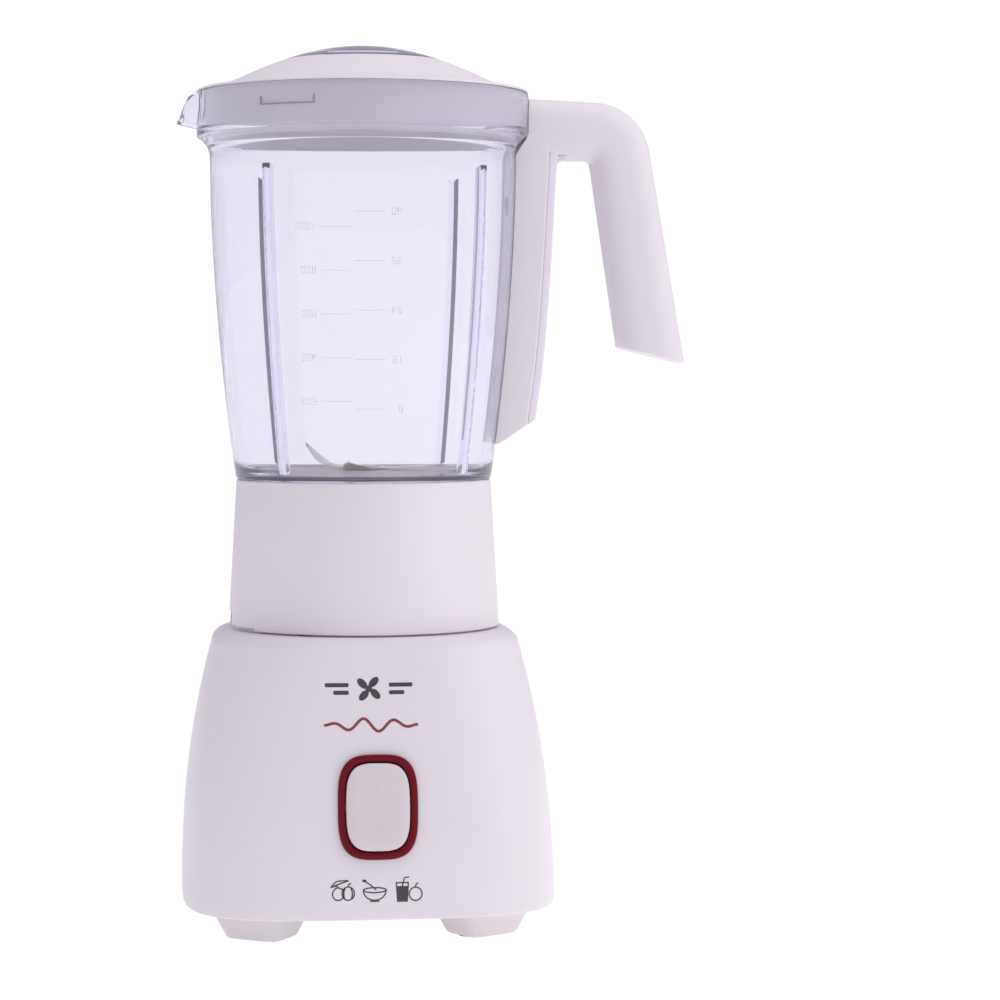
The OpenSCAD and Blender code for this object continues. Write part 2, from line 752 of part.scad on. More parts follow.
module handle() {
    color("lavenderblush") difference() {
        union() {
            handle_grip();
            translate([0, spine_w / 2, 0]) rotate([90, 0, 0]) linear_extrude(spine_w) polygon(concat(
                [[54, 340], [54, 204], spine_foot, strip_foot],
                [for (p = reversed(spine_edge)) [p.x - strip_t, p.y]],
                [[82 - strip_t, 340]]
            ));
        }
        jug_clearance();
        handle_bosses(4.1, 0.2);
        for (seat = screw_seats) translate([seat.y, 0, seat.x]) rotate([0, 90, 0]) {
            translate([0, 0, -20]) cylinder(r = 1.7, h = 40);
            cylinder(r = 3.2, h = 8);
        }
    }
}

module handle_strip() {
    color("whitesmoke") translate([0, spine_w / 2 - 1, 0]) rotate([90, 0, 0])
        linear_extrude(spine_w - 2) polygon(concat(
        [strip_foot + [tiny, 0]],
        [for (p = reversed(spine_edge)) [p.x - strip_t + tiny, p.y - 0.3]],
        [for (p = spine_edge) [p.x, p.y - 0.3]]
    ));
}

module handle_screws() {
    color("silver") for (seat = screw_seats) translate([seat.y, 0, seat.x]) rotate([0, 90, 0]) {
        cylinder(r = 3, h = 2);
        translate([0, 0, -7]) cylinder(r = 1.3, h = 7.1);
    }
}

// ---- Lid ----

module lid() {
    n = 10;
    outer = [for (i = [0:n]) let (r = lerp(cap_r + fit_gap, dome_r, i / n)) [r, dome(r)]];
    inner = [for (i = [n:-1:0]) let (r = lerp(cap_r + 1.5, dome_r - 2, i / n)) [r, dome(r) - 2.4]];
    color("lavenderblush") difference() {
        rotate_extrude() polygon(concat(
            [[filler_r, filler_z], [filler_r + 2, filler_z], [filler_r + 2, seat_z - seat_t],
             [cap_r + 1.5, seat_z - seat_t]],
            reversed(inner),
            [[plug_r - 2.6, 350], [plug_r - 2.6, plug_z], [plug_r, plug_z], [plug_r, 334], [skirt_r, 337.4],
             [skirt_r, flange_z], [flange_r, flange_z], [flange_r, flange_z + 0.6],
             [flange_r - 0.8, flange_z + 1.1]],
            reversed(outer),
            [[cap_r + fit_gap, seat_z], [filler_r, seat_z]]
        ));
        translate([-75, -14, 330]) cube([16, 28, rim_z - 330 - 2]);
    }
    for (a = tab_angles) color("lavenderblush")
        ring_sector(skirt_r + 0.4, skirt_r - touch, 340.8, 344.4, a, 21);
}

module filler_cap() {
    n = 8;
    crown = [for (i = [0:n]) let (r = lerp(cap_r, 0, i / n)) [r, dome(r)]];
    color("thistle", 0.6) difference() {
        union() {
            rotate_extrude() polygon(concat([[0, seat_z + 0.6], [cap_r, seat_z + 0.6]], crown));
            tube(filler_r - fit_gap, filler_r - 2.4, rim_z - 4, seat_z + 1.6);
        }
        for (s = [-1, 1]) translate([s * 19, 0, 385]) sphere(r = 17.5);
        translate([0, 0, rim_z - 5]) cylinder(r = filler_r - 2.5, h = 17.6);
    }
}

housing();
base_cover();
rubber_feet();
cover_screws();
switch_bezel();
rocker();
switch_body();
cord_gland();
suppressor();
motor_stator();
field_coils();
upper_bracket();
lower_bracket();
upper_bearing();
lower_bearing();
motor_screws();
motor_mounts();
brush_holders();
carbon_brushes();
brush_springs();
motor_shaft();
armature_core();
armature_windings();
commutator();
cooling_fan();
drive_coupling();
interlock_guide();
interlock_plunger();
interlock_spring();
microswitch();
collar();
blade_carrier();
jug_gasket();
shaft_bushes();
shaft_seal();
blade_shaft();
upper_blade();
lower_blade();
blade_washers();
blade_nut();
shaft_circlip();
jug_coupling();
jug();
handle();
handle_strip();
handle_screws();
lid();
filler_cap();
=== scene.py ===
"""Countertop blender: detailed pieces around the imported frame. Lengths are millimetres up to the meshes."""
import json
import math

import bmesh
import bpy
from mathutils import Matrix, Vector


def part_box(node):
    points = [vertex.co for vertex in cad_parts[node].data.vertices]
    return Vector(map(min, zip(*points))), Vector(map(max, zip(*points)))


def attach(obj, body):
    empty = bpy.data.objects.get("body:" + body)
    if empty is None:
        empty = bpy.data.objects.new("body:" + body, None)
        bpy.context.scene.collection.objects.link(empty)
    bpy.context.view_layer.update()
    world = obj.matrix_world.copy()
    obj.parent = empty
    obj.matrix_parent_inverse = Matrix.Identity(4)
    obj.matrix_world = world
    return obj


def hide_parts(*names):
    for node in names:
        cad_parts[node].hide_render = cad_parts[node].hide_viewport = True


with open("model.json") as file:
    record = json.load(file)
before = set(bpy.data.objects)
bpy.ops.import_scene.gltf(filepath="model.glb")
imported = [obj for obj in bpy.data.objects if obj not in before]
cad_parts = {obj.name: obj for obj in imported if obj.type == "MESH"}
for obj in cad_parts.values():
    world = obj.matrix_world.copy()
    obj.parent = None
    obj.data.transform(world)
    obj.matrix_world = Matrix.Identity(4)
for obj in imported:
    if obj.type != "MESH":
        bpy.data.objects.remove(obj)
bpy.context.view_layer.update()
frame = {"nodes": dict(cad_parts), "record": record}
MM = 0.001
RING = 192


def span(node):
    """Lowest and highest corner of a CAD node, in millimetres."""
    low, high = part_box(node)
    return low / MM, high / MM


# ---- Sizes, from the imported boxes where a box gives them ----

HOUSE_LOW, HOUSE_HIGH = span("housing")
COLLAR_LOW, COLLAR_HIGH = span("collar")
CAP_HIGH = span("filler_cap")[1]
STRIP_HIGH = span("handle_strip")[1]
LOW_BLADE_Z = span("lower_blade")[0].z
HIGH_BLADE_Z = span("upper_blade")[0].z

WALL = 2.5
BASE_W = HOUSE_HIGH.x
BASE_D = HOUSE_HIGH.y
SKIRT_Z = HOUSE_LOW.z
TURRET_Z = HOUSE_HIGH.z
DECK_Z = COLLAR_LOW.z - 0.7
TAPER = 13.0
SHOULDER_H = 6.0
SHOULDER_IN = 8.5
SHOULDER_Z = DECK_Z - SHOULDER_H
CORNER_LOW = 4.0
CORNER_HIGH = 2.9
TURRET_R = 54.8
WELL_R = 28.0
WELL_Z = 128.5
KEY_ANGLES = (0, 120, 240)
SIDES = [(sx, sy) for sx in (-1, 1) for sy in (-1, 1)]
FEET = [(sx * 42.0, sy * 46.0) for sx, sy in SIDES]
MOTOR_POSTS = [(sx * 27, sy * 27) for sx, sy in SIDES]
PLUNGER_Y = 41
GLAND_Z = 32
SWITCH_Z = 59.0
SWITCH_POWER = 3.4

COLLAR_LOW_R = 57.8
COLLAR_TOP_R = 54.2
WEB_Z = 158.0

JUG_Z = COLLAR_HIGH.z + 0.3
JUG_WALL = 2.3
JUG_LOW_R = 54.4
JUG_HIGH_R = 65.0
BARREL_TOP = 326.0
RIM_R = 70.4
RIM_Z = 352.0
LUG_ANGLES = (45, 135, 225, 315)
LUG_WIDTH = 24
RIB_ANGLES = (45, 132.5, 227.5, 317.5)
RIB_TOP = 320
# Height, radius of the jug's boss and radius of the handle's seat for each handle screw
HANDLE_SCREWS = ((305, 71, 74.6), (232, 67, 69.3))
SOFT_ANGLE = 34

DOME_R = 62.0
DOME_RISE = 18.0
FLANGE_Z = RIM_Z + 0.2
CAP_R = CAP_HIGH.x
SEAT_Z = RIM_Z + 11.4
SKIRT_R = 67.2
SKIN = 2.4
TAB_ANGLES = (59, 239)
TAB_WIDTH = 21
BLADE_T = 1.2


# ---- Numbers and curves ----

def lerp(a, b, t):
    return a + (b - a) * t


def signed_pow(v, e):
    return math.copysign(abs(v) ** e, v)


def rad(degrees):
    return math.radians(degrees)


def squircle_point(a, b, p, t):
    return a * signed_pow(math.cos(t), 2 / p), b * signed_pow(math.sin(t), 2 / p)


def even_angles(a, b, p, n):
    """Curve parameters that put n points at even spacing round a squircle."""
    dense = [math.tau * i / 8000 for i in range(8001)]
    points = [squircle_point(a, b, p, t) for t in dense]
    length = [0.0]
    for one, two in zip(points, points[1:]):
        length.append(length[-1] + math.dist(one, two))
    found = []
    j = 0
    for i in range(n):
        goal = length[-1] * i / n
        while length[j + 1] < goal:
            j += 1
        found.append(lerp(dense[j], dense[j + 1], (goal - length[j]) / (length[j + 1] - length[j])))
    return found


def squircle(a, b, p, angles):
    return [squircle_point(a, b, p, t) for t in angles]


def rounded(points, radii, steps=5):
    """A 2-D polygon with its corners rounded; radii gives one radius a corner, 0 for sharp."""
    out = []
    count = len(points)
    for i, radius in enumerate(radii):
        here = Vector(points[i])
        before = Vector(points[i - 1]) - here
        after = Vector(points[(i + 1) % count]) - here
        if radius <= 0:
            out.append(tuple(here))
            continue
        half = before.angle(after) / 2
        reach = min(radius / math.tan(half), 0.49 * before.length, 0.49 * after.length)
        start = here + before.normalized() * reach
        end = here + after.normalized() * reach
        for k in range(steps + 1):
            s = k / steps
            out.append(tuple((1 - s) ** 2 * start + 2 * s * (1 - s) * here + s * s * end))
    return out


def smooth_line(points, per_span=6):
    """Catmull-Rom curve through points of any dimension."""
    out = []
    last = len(points) - 1
    for i in range(last):
        p0, p1, p2, p3 = (Vector(points[min(max(i + k, 0), last)]) for k in (-1, 0, 1, 2))
        for k in range(per_span):
            s = k / per_span
            out.append(0.5 * (2 * p1 + (p2 - p0) * s + (2 * p0 - 5 * p1 + 4 * p2 - p3) * s * s
                              + (3 * p1 - p0 - 3 * p2 + p3) * s ** 3))
    out.append(Vector(points[-1]))
    return [tuple(p) for p in out]


# ---- Meshes ----

def add_mesh(name, verts, faces):
    mesh = bpy.data.meshes.new(name)
    mesh.from_pydata([tuple(c * MM for c in v) for v in verts], [], faces)
    obj = bpy.data.objects.new(name, mesh)
    bpy.context.scene.collection.objects.link(obj)
    return obj


def tidy(obj, angle=30):
    """Merges doubled points, points the normals outwards and shades smooth up to an angle."""
    bm = bmesh.new()
    bm.from_mesh(obj.data)
    bmesh.ops.remove_doubles(bm, verts=bm.verts, dist=2e-6)
    bmesh.ops.dissolve_degenerate(bm, edges=bm.edges, dist=1e-6)
    loose = [v for v in bm.verts if not v.link_faces]
    bmesh.ops.delete(bm, geom=loose, context="VERTS")
    bmesh.ops.recalc_face_normals(bm, faces=bm.faces)
    bm.to_mesh(obj.data)
    bm.free()
    obj.data.shade_smooth()
    obj.data.set_sharp_from_angle(angle=rad(angle))
    return obj


def loft(name, rings, closed=False, caps=True):
    """Skin over rings of equal length; closed joins the last ring to the first."""
    n = len(rings[0])
    verts = [p for ring in rings for p in ring]
    spans = len(rings) if closed else len(rings) - 1
    faces = []
    for j in range(spans):
        a, b = j * n, ((j + 1) % len(rings)) * n
        for i in range(n):
            k = (i + 1) % n
            faces.append((a + i, a + k, b + k, b + i))
    if caps and not closed:
        faces.append(tuple(range(n)))
        faces.append(tuple((len(rings) - 1) * n + i for i in reversed(range(n))))
    return tidy(add_mesh(name, verts, faces))


def revolve(name, profile, n=RING):
    """Solid of revolution about Z from a closed outline of (radius, height)."""
    turns = [math.tau * i / n for i in range(n)]
    rings = [[(r * math.cos(t), r * math.sin(t), z) for t in turns] for r, z in profile]
    return loft(name, rings, closed=True)


def sector(name, outline, mid, width, n=10):
    """Part of a solid of revolution, width degrees wide, centred on an angle."""
    turns = [rad(mid + width * (i / n - 0.5)) for i in range(n + 1)]
    rings = [[(r * math.cos(t), r * math.sin(t), z) for r, z in outline] for t in turns]
    return loft(name, rings)


def prism(name, outline, low, high):
    """Outline of (x, y) swept along z."""
    return loft(name, [[(x, y, z) for x, y in outline] for z in (low, high)])


def block(name, low, high):
    outline = [(low[0], low[1]), (high[0], low[1]), (high[0], high[1]), (low[0], high[1])]
    return prism(name, outline, low[2], high[2])


def disc_outline(r, n=32, cx=0.0, cy=0.0):
    return [(cx + r * math.cos(math.tau * i / n), cy + r * math.sin(math.tau * i / n)) for i in range(n)]


def spun(angle):
    return Matrix.Rotation(rad(angle), 4, "Z")


def outwards(z):
    """Turns a solid built along Z to run out along X at a height."""
    return Matrix.Translation((0, 0, z)) @ Matrix.Rotation(rad(90), 4, "Y")


def place(obj, matrix):
    """Bakes a millimetre transform into the mesh."""
    shift = Matrix.Translation(matrix.translation * MM)
    obj.data.transform(shift @ matrix.to_3x3().to_4x4())
    return obj


def join(name, objs):
    """One mesh from several, without merging them."""
    bm = bmesh.new()
    for obj in objs:
        bm.from_mesh(obj.data)
        bpy.data.objects.remove(obj)
    mesh = bpy.data.meshes.new(name)
    bm.to_mesh(mesh)
    bm.free()
    obj = bpy.data.objects.new(name, mesh)
    bpy.context.scene.collection.objects.link(obj)
    return obj


def combine(obj, others, operation, angle=30):
    """Boolean of obj with the other objects, which are used up."""
    other = join("tool", others) if len(others) > 1 else others[0]
    modifier = obj.modifiers.new("shape", "BOOLEAN")
    modifier.operation = operation
    modifier.solver = "EXACT"
    modifier.use_self = len(others) > 1
    modifier.object = other
    bpy.context.view_layer.update()
    mesh = bpy.data.meshes.new_from_object(obj.evaluated_get(bpy.context.evaluated_depsgraph_get()))
    obj.modifiers.clear()
    obj.data = mesh
    mesh.name = obj.name
    bpy.data.objects.remove(other)
    return tidy(obj, angle)


# ---- Materials ----

MATERIALS = {}


class Nodes:
    """Short calls for building one material's node tree."""

    def __init__(self, name):
        self.material = bpy.data.materials.new(name)
        self.material.use_nodes = True
        self.tree = self.material.node_tree
        self.shader = self.tree.nodes["Principled BSDF"]
        self.output = self.tree.nodes["Material Output"]
        self.coord = self.tree.nodes.new("ShaderNodeTexCoord").outputs["Object"]

    def link(self, a, b):
        self.tree.links.new(a, b)

    def noise(self, scale, detail=3.0, rough=0.55, stretch=(1, 1, 1)):
        mapping = self.tree.nodes.new("ShaderNodeMapping")
        mapping.inputs["Scale"].default_value = stretch
        self.link(self.coord, mapping.inputs["Vector"])
        node = self.tree.nodes.new("ShaderNodeTexNoise")
        node.inputs["Scale"].default_value = scale
        node.inputs["Detail"].default_value = detail
        node.inputs["Roughness"].default_value = rough
        self.link(mapping.outputs["Vector"], node.inputs["Vector"])
        return node.outputs["Fac"]

    def ramp(self, source, low, high, a, b):
        """Maps source from low..high to a..b."""
        node = self.tree.nodes.new("ShaderNodeMapRange")
        node.inputs["From Min"].default_value = low
        node.inputs["From Max"].default_value = high
        node.inputs["To Min"].default_value = a
        node.inputs["To Max"].default_value = b
        self.link(source, node.inputs["Value"])
        return node.outputs["Result"]

    def mix(self, factor, a, b):
        node = self.tree.nodes.new("ShaderNodeMix")
        node.data_type = "RGBA"
        for socket, value in ((node.inputs["A"], a), (node.inputs["B"], b)):
            if isinstance(value, (tuple, list)):
                socket.default_value = (*value, 1.0)
            else:
                self.link(value, socket)
        self.link(factor, node.inputs["Factor"])
        return node.outputs["Result"]

    def convex_edge_mask(self):
        """Near 1 on convex edges, 0 elsewhere."""
        geometry = self.tree.nodes.new("ShaderNodeNewGeometry")
        return self.ramp(geometry.outputs["Pointiness"], 0.515, 0.56, 0.0, 1.0)

    def bump(self, height, strength, distance):
        node = self.tree.nodes.new("ShaderNodeBump")
        node.inputs["Strength"].default_value = strength
        node.inputs["Distance"].default_value = distance
        self.link(height, node.inputs["Height"])
        self.link(node.outputs["Normal"], self.shader.inputs["Normal"])


def solid_material(name, colour, rough, metal=0.0, grain=2600, bump=0.08, spread=0.03, edge_whiten=0.06,
                   specular=0.5, stretch=(1, 1, 1)):
    """Opaque material: cloudy colour, uneven gloss, moulded or brushed grain and paler edges."""
    m = Nodes(name)
    clouds = m.noise(26, 4)
    fine = m.noise(grain, 3, 0.6, stretch)
    low = tuple(c * (1 - spread) for c in colour)
    high = tuple(min(1, c * (1 + spread)) for c in colour)
    # Colour that convex edges are mixed towards: the base colour moved towards white
    edge = tuple(min(1, lerp(c, 1, edge_whiten)) for c in colour)
    base = m.mix(m.ramp(clouds, 0.3, 0.7, 0, 1), low, high)
    m.link(m.mix(m.convex_edge_mask(), base, edge), m.shader.inputs["Base Color"])
    smudge = m.ramp(m.noise(60, 5, 0.65), 0.25, 0.75, rough * 0.88, min(1, rough * 1.14))
    m.link(smudge, m.shader.inputs["Roughness"])
    m.shader.inputs["Metallic"].default_value = metal
    m.shader.inputs["Specular IOR Level"].default_value = specular
    m.bump(fine, bump, 0.0002)
    MATERIALS[name] = m.material


def clear_material(name, tint, rough, density, absorb, shade):
    """Clear moulded plastic: real refraction, faint flow marks, tint by depth, light let through."""
    m = Nodes(name)
    shader = m.shader
    m.link(m.mix(m.ramp(m.noise(20, 3), 0.3, 0.7, 0, 1), tint, tuple(min(1, c * 1.012) for c in tint)),
           shader.inputs["Base Color"])
    m.link(m.ramp(m.noise(45, 4), 0.3, 0.7, rough * 0.6, rough * 1.4), shader.inputs["Roughness"])
    shader.inputs["Transmission Weight"].default_value = 0.94
    shader.inputs["IOR"].default_value = 1.49
    m.bump(m.noise(30, 2, 0.4, (1, 1, 0.35)), 0.02, 0.0005)
    clear = m.tree.nodes.new("ShaderNodeBsdfTransparent")
    clear.inputs["Color"].default_value = (*shade, 1.0)
    path = m.tree.nodes.new("ShaderNodeLightPath")
    mix = m.tree.nodes.new("ShaderNodeMixShader")
    m.link(path.outputs["Is Shadow Ray"], mix.inputs[0])
    m.link(shader.outputs[0], mix.inputs[1])
    m.link(clear.outputs[0], mix.inputs[2])
    m.link(mix.outputs[0], m.output.inputs["Surface"])
    volume = m.tree.nodes.new("ShaderNodeVolumeAbsorption")
    volume.inputs["Color"].default_value = (*absorb, 1.0)
    volume.inputs["Density"].default_value = density
    m.link(volume.outputs[0], m.output.inputs["Volume"])
    MATERIALS[name] = m.material


WHITE = (0.81, 0.765, 0.79)
# Darker copy of WHITE for the rocker, which is the same white plastic as the housing: painted shade
SHADED_ROCKER_WHITE = (0.71, 0.65, 0.665)

solid_material("white_plastic", WHITE, 0.36, bump=0.05, spread=0.015)
solid_material("shaded_rocker_plastic", SHADED_ROCKER_WHITE, 0.36, bump=0.05, spread=0.015)
# strip_plastic is WHITE made paler: painted highlight of the light from the right along the handle spine's
# right edge
solid_material("strip_plastic", (0.87, 0.82, 0.89), 0.3, bump=0.04, spread=0.015)
solid_material("burgundy_plastic", (0.16, 0.004, 0.013), 0.34, bump=0.04, edge_whiten=0.01, specular=0.1)
clear_material("clear_plastic", (0.986, 0.98, 0.988), 0.02, 48, (0.48, 0.45, 0.95), (0.97, 0.965, 0.98))
clear_material("cap_plastic", (0.91, 0.9, 0.95), 0.03, 45, (0.5, 0.46, 0.9), (0.9, 0.89, 0.96))
solid_material("tan_plastic", (0.55, 0.45, 0.42), 0.4, bump=0.06)
solid_material("black_plastic", (0.022, 0.022, 0.025), 0.42, grain=1800, bump=0.12)
solid_material("grey_plastic", (0.11, 0.11, 0.12), 0.45, grain=1800, bump=0.12)
solid_material("ivory_plastic", (0.72, 0.66, 0.52), 0.42)
solid_material("red_plastic", (0.42, 0.02, 0.02), 0.35)
solid_material("yellow_plastic", (0.7, 0.45, 0.04), 0.4)
solid_material("black_rubber", (0.03, 0.03, 0.032), 0.78, bump=0.25, specular=0.3)
solid_material("white_rubber", (0.7, 0.69, 0.68), 0.62, bump=0.15, specular=0.35)
solid_material("steel", (0.56, 0.55, 0.55), 0.24, metal=1.0, grain=900, bump=0.1, stretch=(1, 14, 1))
solid_material("iron", (0.22, 0.22, 0.24), 0.42, metal=1.0, grain=1200, bump=0.2, stretch=(1, 1, 30))
solid_material("copper", (0.62, 0.24, 0.09), 0.34, metal=1.0, grain=1600, bump=0.5, stretch=(1, 1, 16))
solid_material("bronze", (0.48, 0.3, 0.12), 0.38, metal=1.0, bump=0.15)
solid_material("cast_alloy", (0.5, 0.5, 0.51), 0.5, metal=1.0, grain=1100, bump=0.35)
solid_material("carbon", (0.03, 0.03, 0.032), 0.6, bump=0.3)
solid_material("dark_print", (0.02, 0.018, 0.025), 0.5, bump=0.05, specular=0.1)
solid_material("red_print", (0.24, 0.008, 0.016), 0.45, bump=0.05, specular=0.1)
# Dark lavender used as painted shade along the lid tabs' edges
solid_material("shade_mark", (0.3, 0.27, 0.38), 0.5, bump=0.05, specular=0.1)
clear_material("pale_mark", (0.84, 0.81, 0.93), 0.35, 1, (0.5, 0.42, 0.95), (0.93, 0.92, 0.97))


def piece(obj, body, slot, *nodes, look=None):
    """Gives a new piece the material of its look, or of its slot where it has no look, puts it on its body
    and hides the CAD nodes it stands for.
    """
    obj.data.materials.clear()
    obj.data.materials.append(MATERIALS[look or slot])
    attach(obj, body)
    if nodes:
        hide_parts(*nodes)
    return obj


def dress_cad_nodes():
    """Every carried-over CAD node takes the material of its slot in the record."""
    for entry in frame["record"]["subparts"]:
        obj = frame["nodes"][entry["node"]]
        if not obj.material_slots:
            obj.data.materials.append(None)
        for material_slot in obj.material_slots:
            material_slot.material = MATERIALS[entry["material_slot"]]


# ---- Base ----

BASE_ANGLES = even_angles(BASE_W, BASE_D, CORNER_LOW, 256)


def side_t(z):
    return max(0.0, min(1.0, (z - SKIRT_Z) / (SHOULDER_Z - SKIRT_Z)))


def half_w(z):
    return BASE_W - TAPER * side_t(z) ** 2.2


def half_d(z):
    return BASE_D - TAPER * 1.3 * side_t(z) ** 2.2


def corner(z):
    return lerp(CORNER_LOW, CORNER_HIGH, side_t(z))


def base_ring(z, inset, shape_z=None):
    s = z if shape_z is None else shape_z
    return [(x, y, z) for x, y in squircle(half_w(s) - inset, half_d(s) - inset, corner(s), BASE_ANGLES)]


def circle_ring(r, z):
    """Ring of radius r whose points lie at the same bearings as the base's rings."""
    out = []
    for x, y, _ in base_ring(SHOULDER_Z, 0):
        a = math.atan2(y, x)
        out.append((r * math.cos(a), r * math.sin(a), z))
    return out


def blend_rings(one, two, t):
    return [tuple(lerp(a, b, t) for a, b in zip(p, q)) for p, q in zip(one, two)]


def skin_rings(inset, low, high, steps):
    """Rings up the side and over the shoulder."""
    rings = [base_ring(z, inset) for z in [lerp(low, SHOULDER_Z, i / steps) for i in range(steps)]]
    for i in range(13):
        a = rad(7.5 * i)
        z = SHOULDER_Z + (high - SHOULDER_Z) * math.sin(a)
        rings.append(base_ring(z, inset + SHOULDER_IN * (1 - math.cos(a)), SHOULDER_Z))
    return rings


def front_y(x, z):
    """Depth of the housing's front surface at a place on it."""
    p = corner(z)
    return -half_d(z) * (1 - min(1, abs(x / half_w(z))) ** p) ** (1 / p)


SWITCH_LEAN = math.atan((half_d(SWITCH_Z - 1) - half_d(SWITCH_Z + 1)) / 2)
ON_FRONT = (Matrix.Translation((0, -half_d(SWITCH_Z), SWITCH_Z))
            @ Matrix.Rotation(rad(90) - SWITCH_LEAN, 4, "X"))
SWITCH_ANGLES = even_angles(16.2, 21.2, SWITCH_POWER, 128)
ON_BACK = Matrix.Translation((0, half_d(GLAND_Z), GLAND_Z)) @ Matrix.Rotation(rad(-90), 4, "X")


def switch_ring(a, b, z):
    """Rounded rectangle of the switch opening's kind, in the plane of the front."""
    return [(x, y, z) for x, y in squircle(a, b, SWITCH_POWER, SWITCH_ANGLES)]


def housing():
    rings = [base_ring(SKIRT_Z, 0.9), base_ring(SKIRT_Z + 0.15, 0.45), base_ring(SKIRT_Z + 0.55, 0.12)]
    rings += skin_rings(0, SKIRT_Z + 1.2, DECK_Z, 26)
    rim = rings[-1]
    foot = circle_ring(TURRET_R + 0.5, DECK_Z)
    rings += [blend_rings(rim, foot, 0.5), foot]
    rings += [circle_ring(r, z) for r, z in (
        (TURRET_R + 0.12, DECK_Z + 0.15), (TURRET_R, DECK_Z + 0.6), (TURRET_R, TURRET_Z - 1),
        (TURRET_R - 0.3, TURRET_Z - 0.3), (TURRET_R - 1, TURRET_Z), (WELL_R + 0.8, TURRET_Z),
        (WELL_R + 0.2, TURRET_Z - 0.25), (WELL_R, TURRET_Z - 0.8), (WELL_R, WELL_Z + 1),
        (WELL_R - 0.3, WELL_Z + 0.3), (WELL_R - 1, WELL_Z), (8.4, WELL_Z), (8, WELL_Z + 0.4),
        (8, WELL_Z + 2), (7.7, WELL_Z + 2.3), (6.3, WELL_Z + 2.3), (6, WELL_Z + 2), (6, WELL_Z - WALL),
        (WELL_R + WALL, WELL_Z - WALL), (WELL_R + WALL, TURRET_Z - WALL),
        (TURRET_R - WALL, TURRET_Z - WALL), (TURRET_R - WALL, DECK_Z - WALL))]
    inner = skin_rings(WALL, SKIRT_Z + 1.2, DECK_Z - WALL, 16)
    rings += list(reversed(inner)) + [base_ring(SKIRT_Z, WALL)]
    shell = loft("housing_shell", rings, closed=True)
    posts = [prism("post", disc_outline(4, 32, x, y), SKIRT_Z + 4, DECK_Z - WALL + 0.8) for x, y in FEET]
    posts += [prism("post", disc_outline(5.5, 32, x, y), 116, TURRET_Z - WALL + 0.5) for x, y in MOTOR_POSTS]
    combine(shell, posts, "UNION")
    cuts = [prism("hole", disc_outline(1.5, 20, x, y), 0, SKIRT_Z + 20) for x, y in FEET]
    cuts += [prism("hole", disc_outline(2, 20, x, y), 115, 130) for x, y in MOTOR_POSTS]
    cuts.append(prism("hole", disc_outline(2.7, 32, 0, PLUNGER_Y), TURRET_Z - 5, TURRET_Z + 3))
    for angle in KEY_ANGLES:
        key = block("key", (TURRET_R - 1.7, -3.5, DECK_Z + 0.01), (TURRET_R + 3, 3.5, TURRET_Z + 3))
        cuts.append(place(key, spun(angle)))
    cuts.append(place(loft("window", [switch_ring(15.4, 20.4, z) for z in (-12, 12)]), ON_FRONT))
    cuts.append(place(prism("hole", disc_outline(7.2, 48), -12, 12), ON_BACK))
    combine(shell, cuts, "DIFFERENCE")
    return piece(shell, "base", "white_plastic", "housing")


def leg(sx, sy):
    """Wedge leg with rounded corners; its broad face looks outwards at the corner."""
    power = 7
    angles = even_angles(18, 15, power, 64)
    turn = math.atan2(sy * 0.85, sx * 0.53) - math.pi / 2
    rings = []
    for z, inset in ((1.0, 1.0), (1.2, 0.4), (1.9, 0), (6, 0), (11, 0), (SKIRT_Z + 1, 0), (SKIRT_Z + 2, 0)):
        t = min(1, (z - 1) / SKIRT_Z)
        outline = squircle(lerp(12, 18.5, t) - inset, lerp(10, 15, t) - inset, power, angles)
        rings.append([(x, y, z) for x, y in outline])
    place_at = Matrix.Translation((sx * 45.6, sy * 46.6, 0)) @ Matrix.Rotation(turn, 4, "Z")
    return place(loft("leg", rings), place_at)


def base_cover():
    low, high = SKIRT_Z + 0.6, SKIRT_Z + 3.1
    inset = WALL + 0.9
    rings = [base_ring(low, inset + 0.5, SKIRT_Z), base_ring(low + 0.5, inset, SKIRT_Z),
             base_ring(high - 0.5, inset, SKIRT_Z), base_ring(high, inset + 0.5, SKIRT_Z)]
    plate = loft("base_cover_plate", rings)
    combine(plate, [leg(sx, sy) for sx, sy in SIDES], "UNION")
    cuts = []
    for i in range(-4, 5):
        x = i * 6
        slot = rounded([(x - 1.2, -24), (x + 1.2, -24), (x + 1.2, 24), (x - 1.2, 24)], [1.2] * 4)
        cuts.append(prism("slot", slot, 5, 25))
    well = [(0, -1), (6.1, -1), (6.1, 3), (3.4, 3), (3.4, 13), (1.7, 13), (1.7, 29), (0, 29)]
    for x, y in FEET:
        cuts.append(place(revolve("well", well, 48), Matrix.Translation((x, y, 0))))
    combine(plate, cuts, "DIFFERENCE")
    return piece(plate, "base", "white_plastic", "base_cover")


def switch_bezel():
    profile = [(2.0, -9), (2.0, 0.1), (2.75, 0.1), (3.0, 0.35), (3.0, 0.8), (2.75, 1.3), (2.2, 1.62),
               (1.5, 1.75), (0.85, 1.62), (0.35, 1.3), (0.05, 0.8), (0, 0.2), (0, -9)]
    rings = [switch_ring(13.2 + grow, 18.15 + grow, z) for grow, z in profile]
    bezel = place(loft("switch_ring", rings, closed=True), ON_FRONT)
    return piece(bezel, "base", "burgundy_plastic", "switch_bezel")


